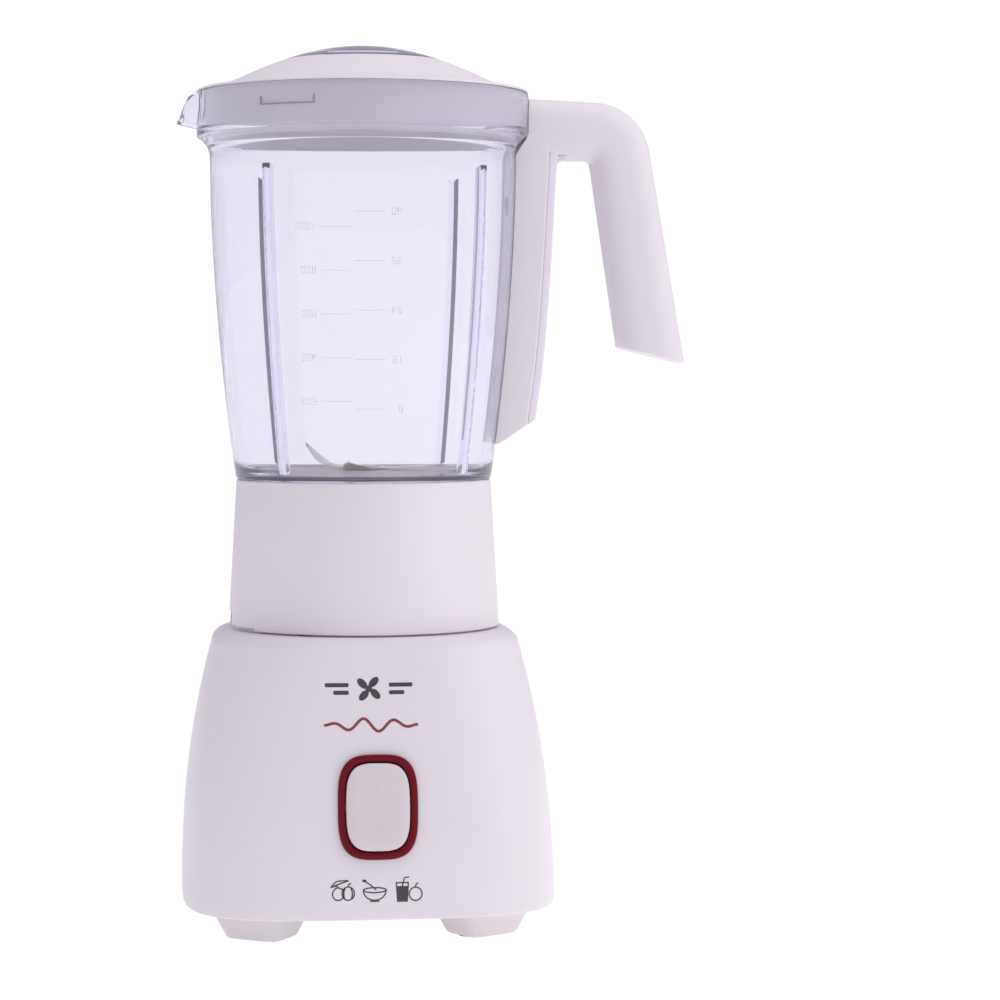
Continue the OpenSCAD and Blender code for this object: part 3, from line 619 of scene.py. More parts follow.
def rocker():
    """Rocker with a bevelled edge, two pivot pins and three plain raised bars."""
    profile = [(0.6, -4.5), (0, -3.9), (0, 1.5), (0.12, 1.9), (0.5, 2.25), (1.25, 2.42), (1.75, 2.5),
               (2.2, 2.62), (2.7, 2.7), (4.5, 2.72), (8, 2.72)]
    rings = [switch_ring(12.85 - inset, 17.65 - inset, z) for inset, z in profile]
    cap = loft("rocker_cap", rings)
    pins = []
    for low in (-14.6, 12.0):
        pin = prism("pin", disc_outline(1.5, 32), 0, 2.6)
        pins.append(place(pin, Matrix.Translation((low, 0, 0)) @ outwards(-2)))
    power = 2.6
    angles = even_angles(1.3, 0.42, power, 24)
    for y in (-8, 0, 8):
        bar = [[(a, b + y, z) for a, b in squircle(1.5 - g, 0.45 - g, power, angles)]
               for z, g in ((2.4, 0), (2.85, 0), (2.95, 0.12))]
        pins.append(loft("bar", bar))
    combine(cap, pins, "UNION")
    hollow = block("hollow", (-10, -14, -5.5), (10, 14, -2.3))
    combine(cap, [hollow], "DIFFERENCE")
    # The rocker is white plastic; its darker look is painted shade
    return piece(place(cap, ON_FRONT), "rocker_body", "white_plastic", "rocker", look="shaded_rocker_plastic")


def cord_gland():
    """Grommet with a ribbed strain relief round the cord's hole."""
    profile = [(3.2, -10.5), (8.2, -10.5), (8.6, -10.1), (8.6, -3.3), (7, -3.3), (7, 0.4), (8.3, 0.4),
               (8.6, 0.7), (8.6, 2.0), (8.2, 2.4), (6.4, 2.4)]
    for i in range(6):
        z = 3.3 + 1.45 * i
        r = 6.3 - 1.2 * i / 5
        profile += [(r - 0.75, z), (r - 0.75, z + 0.45), (r, z + 0.6), (r, z + 1.3)]
    profile += [(4.6, 12), (3.6, 12), (3.2, 11.6)]
    gland = place(revolve("cord_grommet", profile, 64), ON_BACK)
    return piece(gland, "base", "black_rubber", "cord_gland")


# ---- Printed marks ----

INK_TOP = 0.09
INK_FOOT = -0.05
ICON_Z = 25.2


def ribbon(points, width, closed=False):
    """Left and right edges of a stroke of even width along 2-D points."""
    sides = []
    count = len(points)
    for i, p in enumerate(points):
        before = points[i - 1] if i or closed else p
        after = points[(i + 1) % count] if i < count - 1 or closed else p
        dx, dy = after[0] - before[0], after[1] - before[1]
        length = math.hypot(dx, dy) or 1
        nx, ny = -dy / length * width / 2, dx / length * width / 2
        sides.append(((p[0] + nx, p[1] + ny), (p[0] - nx, p[1] - ny)))
    return sides


def stroke_solid(verts, faces, sides, lift, closed):
    """Adds a thin solid under a ribbon; lift maps a 2-D point and a height to the surface."""
    start = len(verts)
    for a, b in sides:
        verts += [lift(a, INK_TOP), lift(b, INK_TOP), lift(b, INK_FOOT), lift(a, INK_FOOT)]
    count = len(sides)
    for i in range(count if closed else count - 1):
        a, b = start + 4 * i, start + 4 * ((i + 1) % count)
        faces += [(a + k, a + (k + 1) % 4, b + (k + 1) % 4, b + k) for k in range(4)]
    if not closed:
        end = start + 4 * (count - 1)
        faces += [(start, start + 1, start + 2, start + 3), (end + 3, end + 2, end + 1, end)]


def fill_solid(verts, faces, outline, lift):
    """Adds a thin filled patch with the given outline."""
    start = len(verts)
    count = len(outline)
    verts += [lift(p, INK_TOP) for p in outline] + [lift(p, INK_FOOT) for p in outline]
    faces.append(tuple(start + i for i in range(count)))
    faces.append(tuple(start + count + i for i in reversed(range(count))))
    faces += [(start + i, start + (i + 1) % count, start + count + (i + 1) % count, start + count + i)
              for i in range(count)]


def on_housing(p, height):
    return (p[0], front_y(p[0], p[1]) - height, p[1])


def print_piece(name, cx, cz, strokes, fills, look, width=0.5):
    """Flat mark on the housing; strokes are (points, closed) and all points are relative to the centre."""
    def lift(p, height):
        return on_housing((cx + p[0], cz + p[1]), height)

    verts, faces = [], []
    for points, closed in strokes:
        stroke_solid(verts, faces, ribbon(points, width, closed), lift, closed)
    for outline in fills:
        fill_solid(verts, faces, outline, lift)
    return piece(tidy(add_mesh(name, verts, faces)), "base", "white_plastic", look=look)


def oval(cx, cz, a, b, start=0, end=360, n=28):
    """Points round an ellipse, or along an arc of it with both ends."""
    turns = [rad(lerp(start, end, i / n)) for i in range(n + (0 if end - start == 360 else 1))]
    return [(cx + a * math.cos(t), cz + b * math.sin(t)) for t in turns]


def rotor_mark():
    """Plain four-bladed rotor between two bars, where the real housing carries a word."""
    fills = [oval(0, 0, 1.3, 1.3)]
    for i in range(4):
        c, s = math.cos(rad(45 + 90 * i)), math.sin(rad(45 + 90 * i))
        fills.append([(u * c - v * s, u * s + v * c) for u, v in oval(3.3, 0.4, 2.5, 1.45)])
    thick = 0.8
    for side in (-1, 1):
        for z, length in ((1.5, 9.6), (-1.5, 6.2)):
            low, high = sorted((side * 8.2, side * (8.2 + length)))
            bar = [(low, z - thick), (high, z - thick), (high, z + thick), (low, z + thick)]
            fills.append(rounded(bar, [0.6] * 4))
    return print_piece("rotor_mark", -2.9, 105.9, [], fills, "dark_print")


def wave_mark():
    """Flowing line under it, in the switch ring's colour; the waves fade out at both ends."""
    height, half_length, steps = 2.6, 19, 80
    points = []
    for i in range(steps + 1):
        rise = height * math.sin(i * math.tau / 26.6) * math.sin(math.pi * i / steps)
        points.append((lerp(-half_length, half_length, i / steps), rise))
    return print_piece("wave_mark", -2.2, 91.6, [(points, False)], [], "red_print", 1.1)


def vegetable_mark():
    curves = [[(-4.6, 1.9), (-1.5, 3.2), (2.6, 4.6)], [(-4.6, 1.9), (-2.2, 4.3), (2.6, 4.6)],
              [(1.0, -2.8), (0.5, -0.6), (1.2, 1.6)], [(3.7, -2.8), (4.1, -0.6), (3.5, 1.6)],
              [(2.4, 2.1), (2.7, 3.1), (3.6, 3.5)], [(-1.6, 1.7), (-2.3, 2.5), (-3.2, 2.2)]]
    strokes = [(oval(-1.6, -0.8, 2.3, 2.5), True), (oval(2.4, -0.6, 2.5, 2.7), True)]
    strokes += [(smooth_line(curve), False) for curve in curves]
    return print_piece("vegetable_mark", -14.6, ICON_Z, strokes, [], "dark_print")


def bowl_mark():
    bowl = oval(0, 0.6, 4.6, 4.1, 180, 360) + oval(0, 0.6, 4.6, 1.0, 0, 180)[1:-1]
    strokes = [(bowl, True), (oval(0, 0.6, 4.6, 1.0, 180, 360), False), ([(-1.9, -3.9), (1.9, -3.9)], False),
               ([(0.6, 0.7), (-1.6, 2.6), (-3.9, 4.2)], False)]
    return print_piece("bowl_mark", -1.5, ICON_Z, strokes, [oval(-4.2, 4.4, 0.9, 0.55)], "dark_print")


def glass_mark():
    drink = [(-4.3, 2.0), (-3.9, -4.0), (-0.4, -4.0), (0, 2.0)]
    strokes = [([(-4.7, 3.4), (0.4, 3.4)], False),
               ([(-4.6, 3.4), (-4.1, -4.2), (-0.2, -4.2), (0.3, 3.4)], False),
               ([(-2.2, 2.0), (-1.3, 5.4), (0.6, 5.7)], False),
               (oval(3.2, -1.2, 2.6, 2.7), True),
               (smooth_line([(3.2, 1.5), (3.4, 2.6), (4.2, 3.2)]), False)]
    return print_piece("glass_mark", 11.8, ICON_Z, strokes, [drink], "dark_print")


# ---- Collar ----

def collar():
    """Hollow ring with a web for the blade unit, bayonet lugs, keys, a plunger pusher and a rim notch."""
    top, low = COLLAR_HIGH.z, COLLAR_LOW.z
    points = [(TURRET_R + 0.4, low), (COLLAR_LOW_R, low), (COLLAR_TOP_R, top), (52.2, top), (52.2, 170),
              (44.4, 170), (44.4, WEB_Z + 8), (50.5, WEB_Z + 3), (24, WEB_Z + 3), (24, WEB_Z), (53, WEB_Z),
              (TURRET_R + 0.4, TURRET_Z + 4)]
    radii = [0.3, 0.7, 1.1, 0.3, 0, 0.4, 1, 1.5, 0.6, 0.6, 2, 1]
    ring = revolve("collar_shell", rounded(points, radii), 256)
    extras = []
    for angle in KEY_ANGLES:
        key = block("key", (TURRET_R - 1.2, -3, low + 1), (TURRET_R + 1, 3, low + 10))
        extras.append(place(key, spun(angle)))
    for angle in LUG_ANGLES:
        outline = [(50.4, 180.2), (52.6, 180.2), (52.6, 183.2), (50.4, 183.2)]
        extras.append(sector("lug", outline, angle, LUG_WIDTH, 16))
        stop = [(50.4, 175.8), (52.6, 175.8), (52.6, 183.2), (50.4, 183.2)]
        extras.append(sector("stop", stop, angle - 13.5, 3, 4))
    extras.append(block("pusher", (-4, PLUNGER_Y - 4, 141), (4, PLUNGER_Y + 4, WEB_Z + 1)))
    for extra in extras:
        combine(ring, [extra], "UNION")
    notch = rounded([(-10.5, low - 3), (10.5, low - 3), (10.5, low + 7), (-10.5, low + 7)], [0, 0, 2, 2], 8)
    cutter = prism("notch", notch, -65, -50)
    swap = Matrix(((0, 0, 1, 0), (1, 0, 0, 0), (0, 1, 0, 0), (0, 0, 0, 1)))
    near, far = TURRET_R - 1, COLLAR_LOW_R + 2
    slot = [(near, low - 1), (far, low - 1), (far, low + 1.2), (near, low + 1.2)]
    combine(ring, [place(cutter, swap)], "DIFFERENCE")
    combine(ring, [sector("slot", slot, 201, 26, 20)], "DIFFERENCE")
    return piece(ring, "jug_base", "white_plastic", "collar")


# ---- Jug ----

def jug_r(z):
    """Outer radius of the jug's barrel."""
    t = max(0.0, min(1.0, (z - JUG_Z) / (BARREL_TOP - JUG_Z)))
    return lerp(JUG_LOW_R, JUG_HIGH_R, 1 - (1 - t) ** 1.82)


def barrel(inset, low, high, n):
    return [(jug_r(lerp(low, high, i / n)) - inset, lerp(low, high, i / n)) for i in range(n + 1)]


def spout_sections(inset, floor, lift):
    """Sections of the beak, each a rounded trough from the rim out to the tip."""
    stations = [(-60, 15.0, 353.4), (-66, 15.0, 353.0), (-70, 12.2, 352.3), (-72.9, 9.5, 350.9),
                (-75.5, 6.5, 346.6), (-77.2, 4.5, 342.4), (-78.6, 2.4, 338.9)]
    arc = [rad(a) for a in range(180, 361, 12)]
    rings = []
    for x, w, top in smooth_line(stations, 5):
        x = min(x + inset, -56) if inset else x
        half = max(w - inset, 0.4)
        low = floor + 0.75 * max(0.0, (-66 - x) / 3.2)
        high = max(top + lift, low + 1.2)
        bottom = min(half * 0.8, (high - low) * 0.6)
        middle = lerp(low + bottom, high, 0.5)
        side = [(-half, high), (-half, middle)]
        side += [(half * math.cos(a), low + bottom + bottom * math.sin(a)) for a in arc]
        side += [(half, middle), (half, high)]
        rings.append([(x, y, z) for y, z in side])
    return rings


def rib(angle):
    """Half-round rib on the inside of the wall, with a sloping top end."""
    rings = []
    steps = 24
    for i in range(steps + 1):
        z = lerp(JUG_Z + 3, RIB_TOP, i / steps)
        r = jug_r(z) - JUG_WALL + 0.6
        section = [(r, -2.0), (r, 2.0), (r - 2.4, 2.0)]
        section += [(r - 2.4 - 1.8 * math.sin(rad(a)), 2.0 * math.cos(rad(a))) for a in range(15, 180, 15)]
        section += [(r - 2.4, -2.0)]
        slope = 0.55 if i == steps else 0.0
        rings.append([(x, y, z - slope * (r - x)) for x, y in section])
    return place(loft("rib", rings), spun(angle))


def jug():
    """Clear jug: barrel, flared rim band, ribs, bayonet lugs, spout and the handle's two screw bosses."""
    outer = barrel(0, JUG_Z + 1.2, BARREL_TOP, 40)
    flare = smooth_line([outer[-1], (65.9, 329), (67.4, 331.2), (68.8, 332.7)], 3)[1:]
    flare += [(69.2, 333.1), (70.1, 333.3), (RIM_R, 333.7)]
    lip = rounded([(RIM_R, RIM_Z - 3), (RIM_R, RIM_Z), (RIM_R - 2.3, RIM_Z), (RIM_R - 2.3, RIM_Z - 3)],
                  [0, 0.9, 0.7, 0])
    shelf = [(68.05, 337.2), (67.85, 336.3), (67.3, 335.2), (66.4, 333.9), (65, 331.6), (63.7, 329.6),
             (63.1, 328.5)]
    inner = list(reversed(barrel(JUG_WALL, JUG_Z + 5, BARREL_TOP, 40)))
    floor = smooth_line([inner[-1], (51.8, 192.2), (51.0, 191), (49.8, 190.6), (48, 190.5)], 3)[1:]
    neck = [(47.3, 190.3), (47, 189.8), (47, 174.95), (47.4, 174.55), (49.6, 174.55), (50, 174.95),
            (50, 188.6), (50.3, 188.9), (53.6, 188.9), (54.15, 189.1), (54.38, 189.6)]
    shell = revolve("jug_shell", outer + flare + lip + shelf + inner + floor + neck, 256)
    adds = [rib(a) for a in RIB_ANGLES]
    lug = [(49.4, 176), (51.8, 176), (51.8, 179), (49.4, 179)]
    adds += [sector("lug", lug, angle, LUG_WIDTH, 16) for angle in LUG_ANGLES]
    for z, reach, _ in HANDLE_SCREWS:
        adds.append(place(prism("boss", disc_outline(4, 32), reach - 9.4, reach), outwards(z)))
    spout = loft("spout", spout_sections(0, 335.6, 0))
    core = prism("core", disc_outline(RIM_R - 1.2, 128), 330, 362)
    top = block("top", (-90, -30, RIM_Z), (-40, 30, RIM_Z + 12))
    combine(spout, [core], "DIFFERENCE")
    combine(spout, [top], "DIFFERENCE")
    adds.append(spout)
    for extra in adds:
        combine(shell, [extra], "UNION", SOFT_ANGLE)
    combine(shell, [loft("channel", spout_sections(1.9, 337.4, 9))], "DIFFERENCE", SOFT_ANGLE)
    for z, _, seat in HANDLE_SCREWS:
        hole = prism("hole", disc_outline(1.4, 20), seat - 7.5, seat + 2)
        combine(shell, [place(hole, outwards(z))], "DIFFERENCE", SOFT_ANGLE)
    return piece(shell, "jug_body", "clear_plastic", "jug")


def on_back_wall(p, height):
    """Point on the outside of the jug's back wall; p is the distance round from the axis plane, and z."""
    r = jug_r(p[1]) + height
    a = rad(90) - p[0] / r
    return (r * math.cos(a), r * math.sin(a), p[1])


DIGITS = {
    "0": [(0, 0), (1, 0), (1, 2), (0, 2), (0, 0)],
    "1": [(0.5, 0), (0.5, 2)],
    "2": [(0, 2), (1, 2), (1, 1), (0, 1), (0, 0), (1, 0)],
    "3": [(0, 2), (1, 2), (1, 1), (0.2, 1), (1, 1), (1, 0), (0, 0)],
    "4": [(0, 2), (0, 1), (1, 1), (1, 2), (1, 0)],
    "6": [(1, 2), (0, 2), (0, 0), (1, 0), (1, 1), (0, 1)],
    "8": [(0, 1), (0, 0), (1, 0), (1, 2), (0, 2), (0, 1), (1, 1)],
}


DIGIT_STEP = 2.7
DIGIT_SIZE = 1.5
STROKE = 0.3
ML_LOW_Z, ML_STEP = 221, 19.5
OZ_LOW_Z, OZ_STEP = 217.5, 22.1


def digit_strokes(word, right, mid):
    """Straight strokes of a number that reads from behind, starting at its right end."""
    strokes = []
    for n, digit in enumerate(word):
        line = [Vector((right - DIGIT_STEP * n - DIGIT_SIZE * u, mid - DIGIT_SIZE + DIGIT_SIZE * v))
                for u, v in DIGITS[digit]]
        for a, b in zip(line, line[1:]):
            reach = (b - a).normalized() * STROKE / 2
            strokes.append([tuple(a - reach), tuple(b + reach)])
    return strokes


def measuring_marks():
    """Two columns of graduations with plain numbers on the outside of the back wall."""
    strokes = []
    for i in range(5):
        left_z, right_z = ML_LOW_Z + ML_STEP * i, OZ_LOW_Z + OZ_STEP * i
        strokes.append([(-15.5 + k, left_z) for k in range(15)])
        strokes.append([(0.5 + k, right_z) for k in range(15)])
        strokes += digit_strokes(str(200 + 200 * i), -18, left_z)
        strokes += digit_strokes(str(8 + 8 * i), 22, right_z)
    verts, faces = [], []
    for points in strokes:
        stroke_solid(verts, faces, ribbon(points, STROKE), on_back_wall, False)
    marks = tidy(add_mesh("measuring_marks", verts, faces))
    return piece(marks, "jug_body", "clear_plastic", look="pale_mark")


# ---- Handle ----

STRIP_T = 3.4
SPINE_EDGE = [(82, 324), (78.9, 270.5), (75.9, 236), (72.8, 214)]
STRIP_FOOT = (69.4, 211.7)
GRIP_W = 27.0
SPINE_W = 24.0
GRIP_POWER = 2.8
GRIP_ANGLES = even_angles(14, 13.5, GRIP_POWER, 72)


def grip_section(inner, outer, grow=0.0):
    """Section of the grip between a point on its inner line and one on its outer line, both as (x, z)."""
    inner, outer = Vector(inner), Vector(outer)
    mid = (inner + outer) / 2
    half = (outer - inner).length / 2
    along = (outer - inner).normalized()
    return [(mid.x + u * along.x, v, mid.y + u * along.y)
            for u, v in squircle(half + grow, GRIP_W / 2 + grow, GRIP_POWER, GRIP_ANGLES)]


def handle_grip():
    """Arm, bend and hanging grip as one skin; the last three sections round off the free end."""
    stations = [((x, 324.4), (x, 350.8 - (x - 64) / 28)) for x in (64, 70, 76, 82, 88)]
    stations.append(((92.4, 324.4), (95.5, 349.6)))
    for i in range(13):
        a, b = rad(lerp(84, 9, i / 12)), rad(90 * i / 12)
        stations.append(((95.4 + 2.1 * math.sin(b), 322.3 + 2.1 * math.cos(b)),
                         (98.4 + 24.8 * math.cos(a), 324.6 + 24.8 * math.sin(a))))
    low, high = Vector((97.3, 324.4)), Vector((109.2, 244.6))
    out_low, out_high = Vector((122.9, 328.5)), Vector((138.3, 237.6))
    for i in range(1, 15):
        stations.append((low.lerp(high, i / 14), out_low.lerp(out_high, i / 14)))
    rings = [grip_section(a, b) for a, b in stations]
    end_in, end_out = stations[-1]
    down = Vector((0.075, -0.55))
    rings[-1] = grip_section(Vector(end_in) - down * 1.2, Vector(end_out) - down * 1.2)
    rings.append(grip_section(Vector(end_in) - down * 0.3, Vector(end_out) - down * 0.3, -0.35))
    rings.append(grip_section(end_in, end_out, -1.2))
    return loft("handle_grip", rings)


def bar_rings(line_in, line_out, half, radius):
    """Rounded bar between two lines in the XZ plane, as rings down the bar."""
    rings = []
    for a, b in zip(line_in, line_out):
        a, b = Vector(a), Vector(b)
        wide = (b - a).length
        outline = rounded([(0, -half), (wide, -half), (wide, half), (0, half)], [radius] * 4, 5)
        along = (b - a).normalized()
        rings.append([(a.x + u * along.x, v, a.y + u * along.y) for u, v in outline])
    return rings


def spine_line(offset, low, high, n):
    """Points on the spine's outer edge, moved inwards, from high to low."""
    curve = smooth_line(SPINE_EDGE, 12)
    out = []
    for i in range(n + 1):
        z = lerp(high, low, i / n)
        for (x0, z0), (x1, z1) in zip(curve, curve[1:]):
            if z1 <= z <= z0:
                out.append((lerp(x0, x1, (z0 - z) / (z0 - z1)) - offset, z))
                break
    return out


def jug_clearance():
    """Room for the jug, 0.2 mm larger than it, to cut from the handle."""
    profile = [(0, 150), (JUG_LOW_R + 0.2, 150)] + barrel(-0.2, JUG_Z, BARREL_TOP, 40)
    profile += [(66.9, 328.8), (68.4, 331), (69.6, 332.6), (70.35, 334.1), (RIM_R + 0.2, 335.4),
                (RIM_R + 0.2, 360), (0, 360)]
    return revolve("clearance", profile, 256)


def handle():
    """Grip, spine along the jug and a small web in the corner between them."""
    grip = handle_grip()
    edge = [(STRIP_HIGH.x - STRIP_T, 340)] + spine_line(STRIP_T, 214, 324, 22)
    body = [(54, z) for _, z in edge]
    edge += [STRIP_FOOT, (66.4, 209.7), (61, 206.1), (57.4, 203.7)]
    body += [(54, 211), (54, 208), (54, 205), (54, 203.4)]
    spine = loft("handle_spine", bar_rings(body, edge, SPINE_W / 2, 1.3))
    gusset = [(79, 326), (79, 321.6)]
    gusset += [(82 + 2.6 * (1 - math.cos(rad(a))), 321.6 + 2.6 * math.sin(rad(a))) for a in range(0, 91, 15)]
    web = prism("gusset", [(x, z) for x, z in gusset + [(86, 324.6), (86, 326)]], -9.5, 9.5)
    place(web, Matrix.Rotation(rad(90), 4, "X"))
    combine(grip, [spine], "UNION", SOFT_ANGLE)
    combine(grip, [web], "UNION", SOFT_ANGLE)
    combine(grip, [jug_clearance()], "DIFFERENCE", SOFT_ANGLE)
    for z, reach, seat in HANDLE_SCREWS:
        profile = [(0, 40), (4.1, 40), (4.1, reach + 0.2), (1.7, reach + 0.2), (1.7, seat), (3.2, seat),
                   (3.2, seat + 8), (0, seat + 8)]
        combine(grip, [place(revolve("seat", profile, 40), outwards(z))], "DIFFERENCE", SOFT_ANGLE)
    grip.name = "handle_shell"
    return piece(grip, "jug_body", "white_plastic", "handle")


def handle_strip():
    outer = [(82.2, 328.5)] + spine_line(0, 215, 323.9, 26)
    inner = [(x - STRIP_T + 0.02, z) for x, z in outer]
    rings = bar_rings(inner + [STRIP_FOOT], outer + [SPINE_EDGE[-1]], SPINE_W / 2 - 1, 0.9)
    strip = loft("spine_strip", rings)
    # The strip is a real part; its paler white is a painted highlight of the light from the right
    return piece(strip, "jug_body", "strip_plastic", "handle_strip")


# ---- Lid and cap ----

def dome(r):
    """Height of the lid's dome, which the cap follows."""
    return FLANGE_Z + 2 + DOME_RISE * (1 - (min(r, DOME_R) / DOME_R) ** 2) ** 1.2


def lid():
    seat = CAP_R + 0.3
    crown = [(r, dome(r)) for r in [lerp(seat + 0.5, DOME_R, i / 30) for i in range(31)]]
    under = [(r, dome(r) - SKIN) for r in [lerp(CAP_R + 1.5, DOME_R - 2, i / 20) for i in range(21)]]
    flange = rounded([(DOME_R, FLANGE_Z + 2), (69.4, FLANGE_Z + 1.1), (70.2, FLANGE_Z + 0.6),
                      (70.2, FLANGE_Z), (SKIRT_R, FLANGE_Z)], [0, 0.8, 0.3, 0.2, 0.3])[1:]
    skirt = rounded([(SKIRT_R, 338.4), (66.8, 336.6), (66.0, 334.6), (65.2, 333.5), (63.2, 333.3)],
                    [0, 0.3, 0.3, 0.3, 0])
    plug = [(62.8, 333.2), (61, 333.2), (60.6, 333.6), (60.6, 350)]
    well = [(CAP_R + 1.5, SEAT_Z - SKIN), (29.5, SEAT_Z - SKIN), (29.5, 344.4), (29.1, 344), (27.9, 344),
            (27.5, 344.4), (27.5, SEAT_Z - 0.4), (27.9, SEAT_Z), (seat, SEAT_Z), (seat, dome(seat) - 0.4),
            (seat + 0.15, dome(seat) - 0.08)]
    profile = crown + flange + skirt + plug + list(reversed(under)) + well
    cover = revolve("lid_shell", profile, 256)
    combine(cover, [block("gap", (-75, -14, 330), (-59, 14, RIM_Z - 2))], "DIFFERENCE")
    return piece(cover, "lid_body", "white_plastic", "lid")


def lid_tab_shade():
    """Thin dark strips that paint the shade along the edges of two grip tabs on the lid's skirt; the tabs
    themselves are not modelled.
    """
    foot = (TAB_WIDTH, 0, 342.7, 343.3, 16)
    left, right = ((0.6, offset, 343, 346.3, 2) for offset in (-10.2, 10.2))
    near, far = SKIRT_R - 0.4, SKIRT_R + 0.5
    edges = []
    for mid in TAB_ANGLES:
        for width, offset, low, high, steps in (foot, left, right):
            outline = [(near, low), (far, low), (far, high), (near, high)]
            edges.append(sector("edge", outline, mid + offset, width, steps))
    return piece(join("lid_tab_edge_shade", edges), "lid_body", "white_plastic", look="shade_mark")


def filler_cap():
    """Clear cap that carries on the dome, with a tube into the lid and two finger dips."""
    crown = [(r, dome(r)) for r in [CAP_R * (1 - (i / 24) ** 1.2) for i in range(25)]]
    profile = [(0, 365.5), (25.1, 365.5), (25.1, 348.3), (25.4, 348), (26.9, 348), (27.2, 348.3),
               (27.2, 363.9), (27.4, 364), (CAP_R - 0.3, 364), (CAP_R, 364.3), (CAP_R, dome(CAP_R) - 0.3)]
    cap = revolve("cap_shell", profile + crown[1:], 160)
    dip_r = 17.5
    ball = [(dip_r * math.cos(rad(a)), dip_r * math.sin(rad(a))) for a in range(-90, 91, 3)]
    for side in (-1, 1):
        dip = revolve("dip", ball + [(0, 0)], 96)
        combine(cap, [place(dip, Matrix.Translation((side * 19, 0, 385)))], "DIFFERENCE", 24)
    return piece(cap, "cap", "cap_plastic", "filler_cap")


# ---- Blades ----

HUB_R = 8


def wing_rise(x, reach, up):
    """Height of a wing's curve, flat over the hub."""
    return 0.0 if x <= HUB_R else up * ((x - HUB_R) / (reach - HUB_R)) ** 1.5


def along_line(line, x):
    """Value at x on a line through (x, y) points."""
    for (x0, y0), (x1, y1) in zip(line, line[1:]):
        if x0 <= x <= x1:
            return lerp(y0, y1, (x - x0) / (x1 - x0 or 1))
    return line[-1][1]


def blade(name, reach_a, reach_b, up_a, up_b, z, turn, node):
    """Pressed blade with ground edges and curved wings, reach_a long to one side and reach_b to the other."""
    front = [(-reach_a, -1.0), (-reach_a + 6, -6), (-HUB_R, -7), (HUB_R, -7), (reach_b, -5.5)]
    back = [(-reach_a, 0.2), (-reach_a + 2, 2.5), (-HUB_R, 7), (HUB_R, 7), (reach_b - 6, 6), (reach_b, 0)]
    rings = []
    steps = 64
    for i in range(steps + 1):
        x = lerp(-reach_a, reach_b, i / steps)
        rise = wing_rise(-x, reach_a, up_a) if x < 0 else wing_rise(x, reach_b, up_b)
        low, high = along_line(front, x), along_line(back, x)
        grind = min(1.8, (high - low) * 0.4) if abs(x) > 9 else 0.15
        section = [(low, 0.1), (low, 0.3 if abs(x) > 9 else BLADE_T - 0.2), (low + grind, BLADE_T),
                   (high - grind, BLADE_T), (high, BLADE_T - 0.2), (high, 0.0), (low + 0.1, 0.0)]
        rings.append([(x, y, rise + h) for y, h in section])
    wing = loft(name, rings)
    combine(wing, [prism("bore", disc_outline(4, 48), -2, 4)], "DIFFERENCE")
    place(wing, Matrix.Translation((0, 0, z)) @ spun(turn))
    return piece(wing, "blade_unit", "steel", node)


# ---- Stage, light and camera ----

WORLD_LIGHT = 0.6
LIGHT_TINT = (0.93, 0.89, 1.0, 1.0)
FLOOR_GLOW = 0.3
SEEN_WHITE = 1.05
FLOOR_HALF = 6.0


def seen_factor(tree):
    """1 where the background is looked at, also through the clear parts; 0 where it only lights."""
    path = tree.nodes.new("ShaderNodeLightPath")
    seen = tree.nodes.new("ShaderNodeMath")
    seen.operation = "MAXIMUM"
    tree.links.new(path.outputs["Is Camera Ray"], seen.inputs[0])
    tree.links.new(path.outputs["Is Transmission Ray"], seen.inputs[1])
    return seen.outputs[0]


def seen_strength(tree, unseen):
    """Socket that is SEEN_WHITE where the background is looked at, and unseen where it only lights."""
    strength = tree.nodes.new("ShaderNodeMapRange")
    strength.inputs["To Min"].default_value = unseen
    strength.inputs["To Max"].default_value = SEEN_WHITE
    tree.links.new(seen_factor(tree), strength.inputs["Value"])
    return strength.outputs["Result"]


def stage():
    """Pale floor that looks white and lights the blender less than it looks."""
    corners = [(-1, -1), (1, -1), (1, 1), (-1, 1)]
    mesh = bpy.data.meshes.new("floor")
    mesh.from_pydata([(x * FLOOR_HALF, y * FLOOR_HALF, 0) for x, y in corners], [], [(0, 1, 2, 3)])
    floor = bpy.data.objects.new("floor", mesh)
    bpy.context.scene.collection.objects.link(floor)
    m = Nodes("floor_paper")
    paper = m.mix(m.noise(3, 2), (0.93, 0.93, 0.93), (0.95, 0.95, 0.95))
    m.link(m.mix(seen_factor(m.tree), paper, (0.0, 0.0, 0.0)), m.shader.inputs["Base Color"])
    m.shader.inputs["Roughness"].default_value = 0.9
    m.shader.inputs["Specular IOR Level"].default_value = 0.0
    m.shader.inputs["Emission Color"].default_value = (1, 1, 1, 1)
    m.link(seen_strength(m.tree, FLOOR_GLOW), m.shader.inputs["Emission Strength"])
    floor.data.materials.append(m.material)


def area_light(name, where, target, size, power):
    data = bpy.data.lights.new(name, "AREA")
    data.shape = "RECTANGLE"
    data.size, data.size_y = size
    data.energy = power
    lamp = bpy.data.objects.new(name, data)
    lamp.location = where
    aim = Vector(target) - Vector(where)
    lamp.rotation_euler = aim.to_track_quat("-Z", "Y").to_euler()
    lamp.visible_glossy = False
    lamp.visible_transmission = False
    bpy.context.scene.collection.objects.link(lamp)


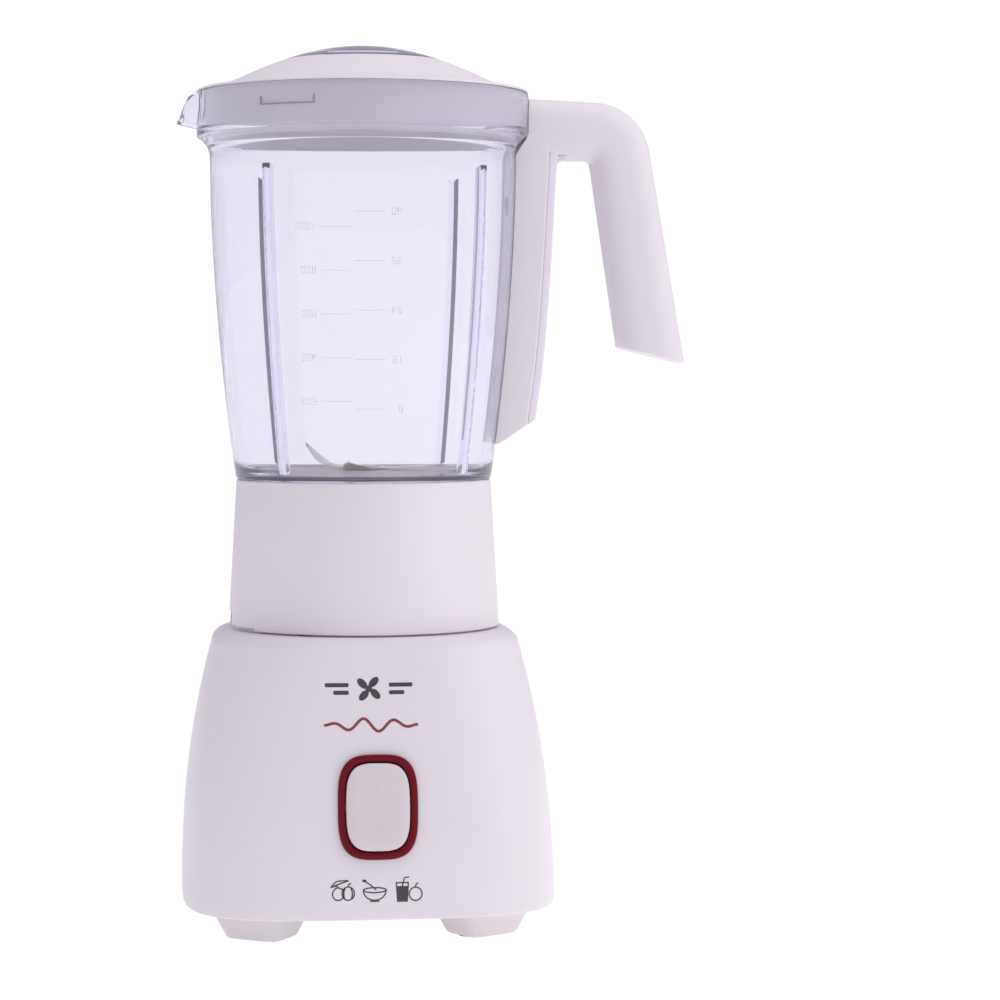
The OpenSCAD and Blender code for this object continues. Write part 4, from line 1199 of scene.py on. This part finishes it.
def light():
    """Cool even light from all round, with a soft key from the right and a soft top light."""
    world = bpy.data.worlds.new("studio")
    world.use_nodes = True
    tree = world.node_tree
    background = tree.nodes["Background"]
    tint = tree.nodes.new("ShaderNodeMix")
    tint.data_type = "RGBA"
    tint.inputs["A"].default_value = LIGHT_TINT
    tint.inputs["B"].default_value = (1.0, 1.0, 1.0, 1.0)
    tree.links.new(seen_factor(tree), tint.inputs["Factor"])
    tree.links.new(tint.outputs["Result"], background.inputs["Color"])
    tree.links.new(seen_strength(tree, WORLD_LIGHT), background.inputs["Strength"])
    bpy.context.scene.world = world
    area_light("key", (1.8, -0.45, 0.8), (0, 0, 0.18), (1.4, 1.6), 8.5)
    area_light("top", (0.2, -0.2, 1.6), (0, 0, 0.3), (1.0, 1.0), 7)
    bpy.context.scene.view_settings.view_transform = "Standard"


# Lens and sensor in millimetres, places in metres
CAMERA_LENS = 107.8
SENSOR = 36
CAMERA_AWAY = 1.280
CAMERA_SIDE = 0.0583
CAMERA_UP = 0.2354
CAMERA_YAW = rad(6.5)
CAMERA_PITCH = rad(2.505)


def camera():
    data = bpy.data.cameras.new("camera")
    data.lens = CAMERA_LENS
    data.sensor_width = SENSOR
    view = bpy.data.objects.new("camera", data)
    forward = Vector((math.sin(CAMERA_YAW), math.cos(CAMERA_YAW), 0))
    right = Vector((math.cos(CAMERA_YAW), -math.sin(CAMERA_YAW), 0))
    view.location = right * CAMERA_SIDE - forward * CAMERA_AWAY + Vector((0, 0, CAMERA_UP))
    view.rotation_euler = (rad(90) - CAMERA_PITCH, 0, -CAMERA_YAW)
    bpy.context.scene.collection.objects.link(view)
    bpy.context.scene.camera = view


dress_cad_nodes()
housing()
base_cover()
switch_bezel()
rocker()
cord_gland()
rotor_mark()
wave_mark()
vegetable_mark()
bowl_mark()
glass_mark()
collar()
jug()
measuring_marks()
handle()
handle_strip()
lid()
lid_tab_shade()
filler_cap()
blade("blade_low", 26, 27, 7, 0, LOW_BLADE_Z, 72, "lower_blade")
blade("blade_high", 26, 31, 12.5, 2, HIGH_BLADE_Z, -22, "upper_blade")
stage()
light()
camera()

bpy.context.view_layer.update()
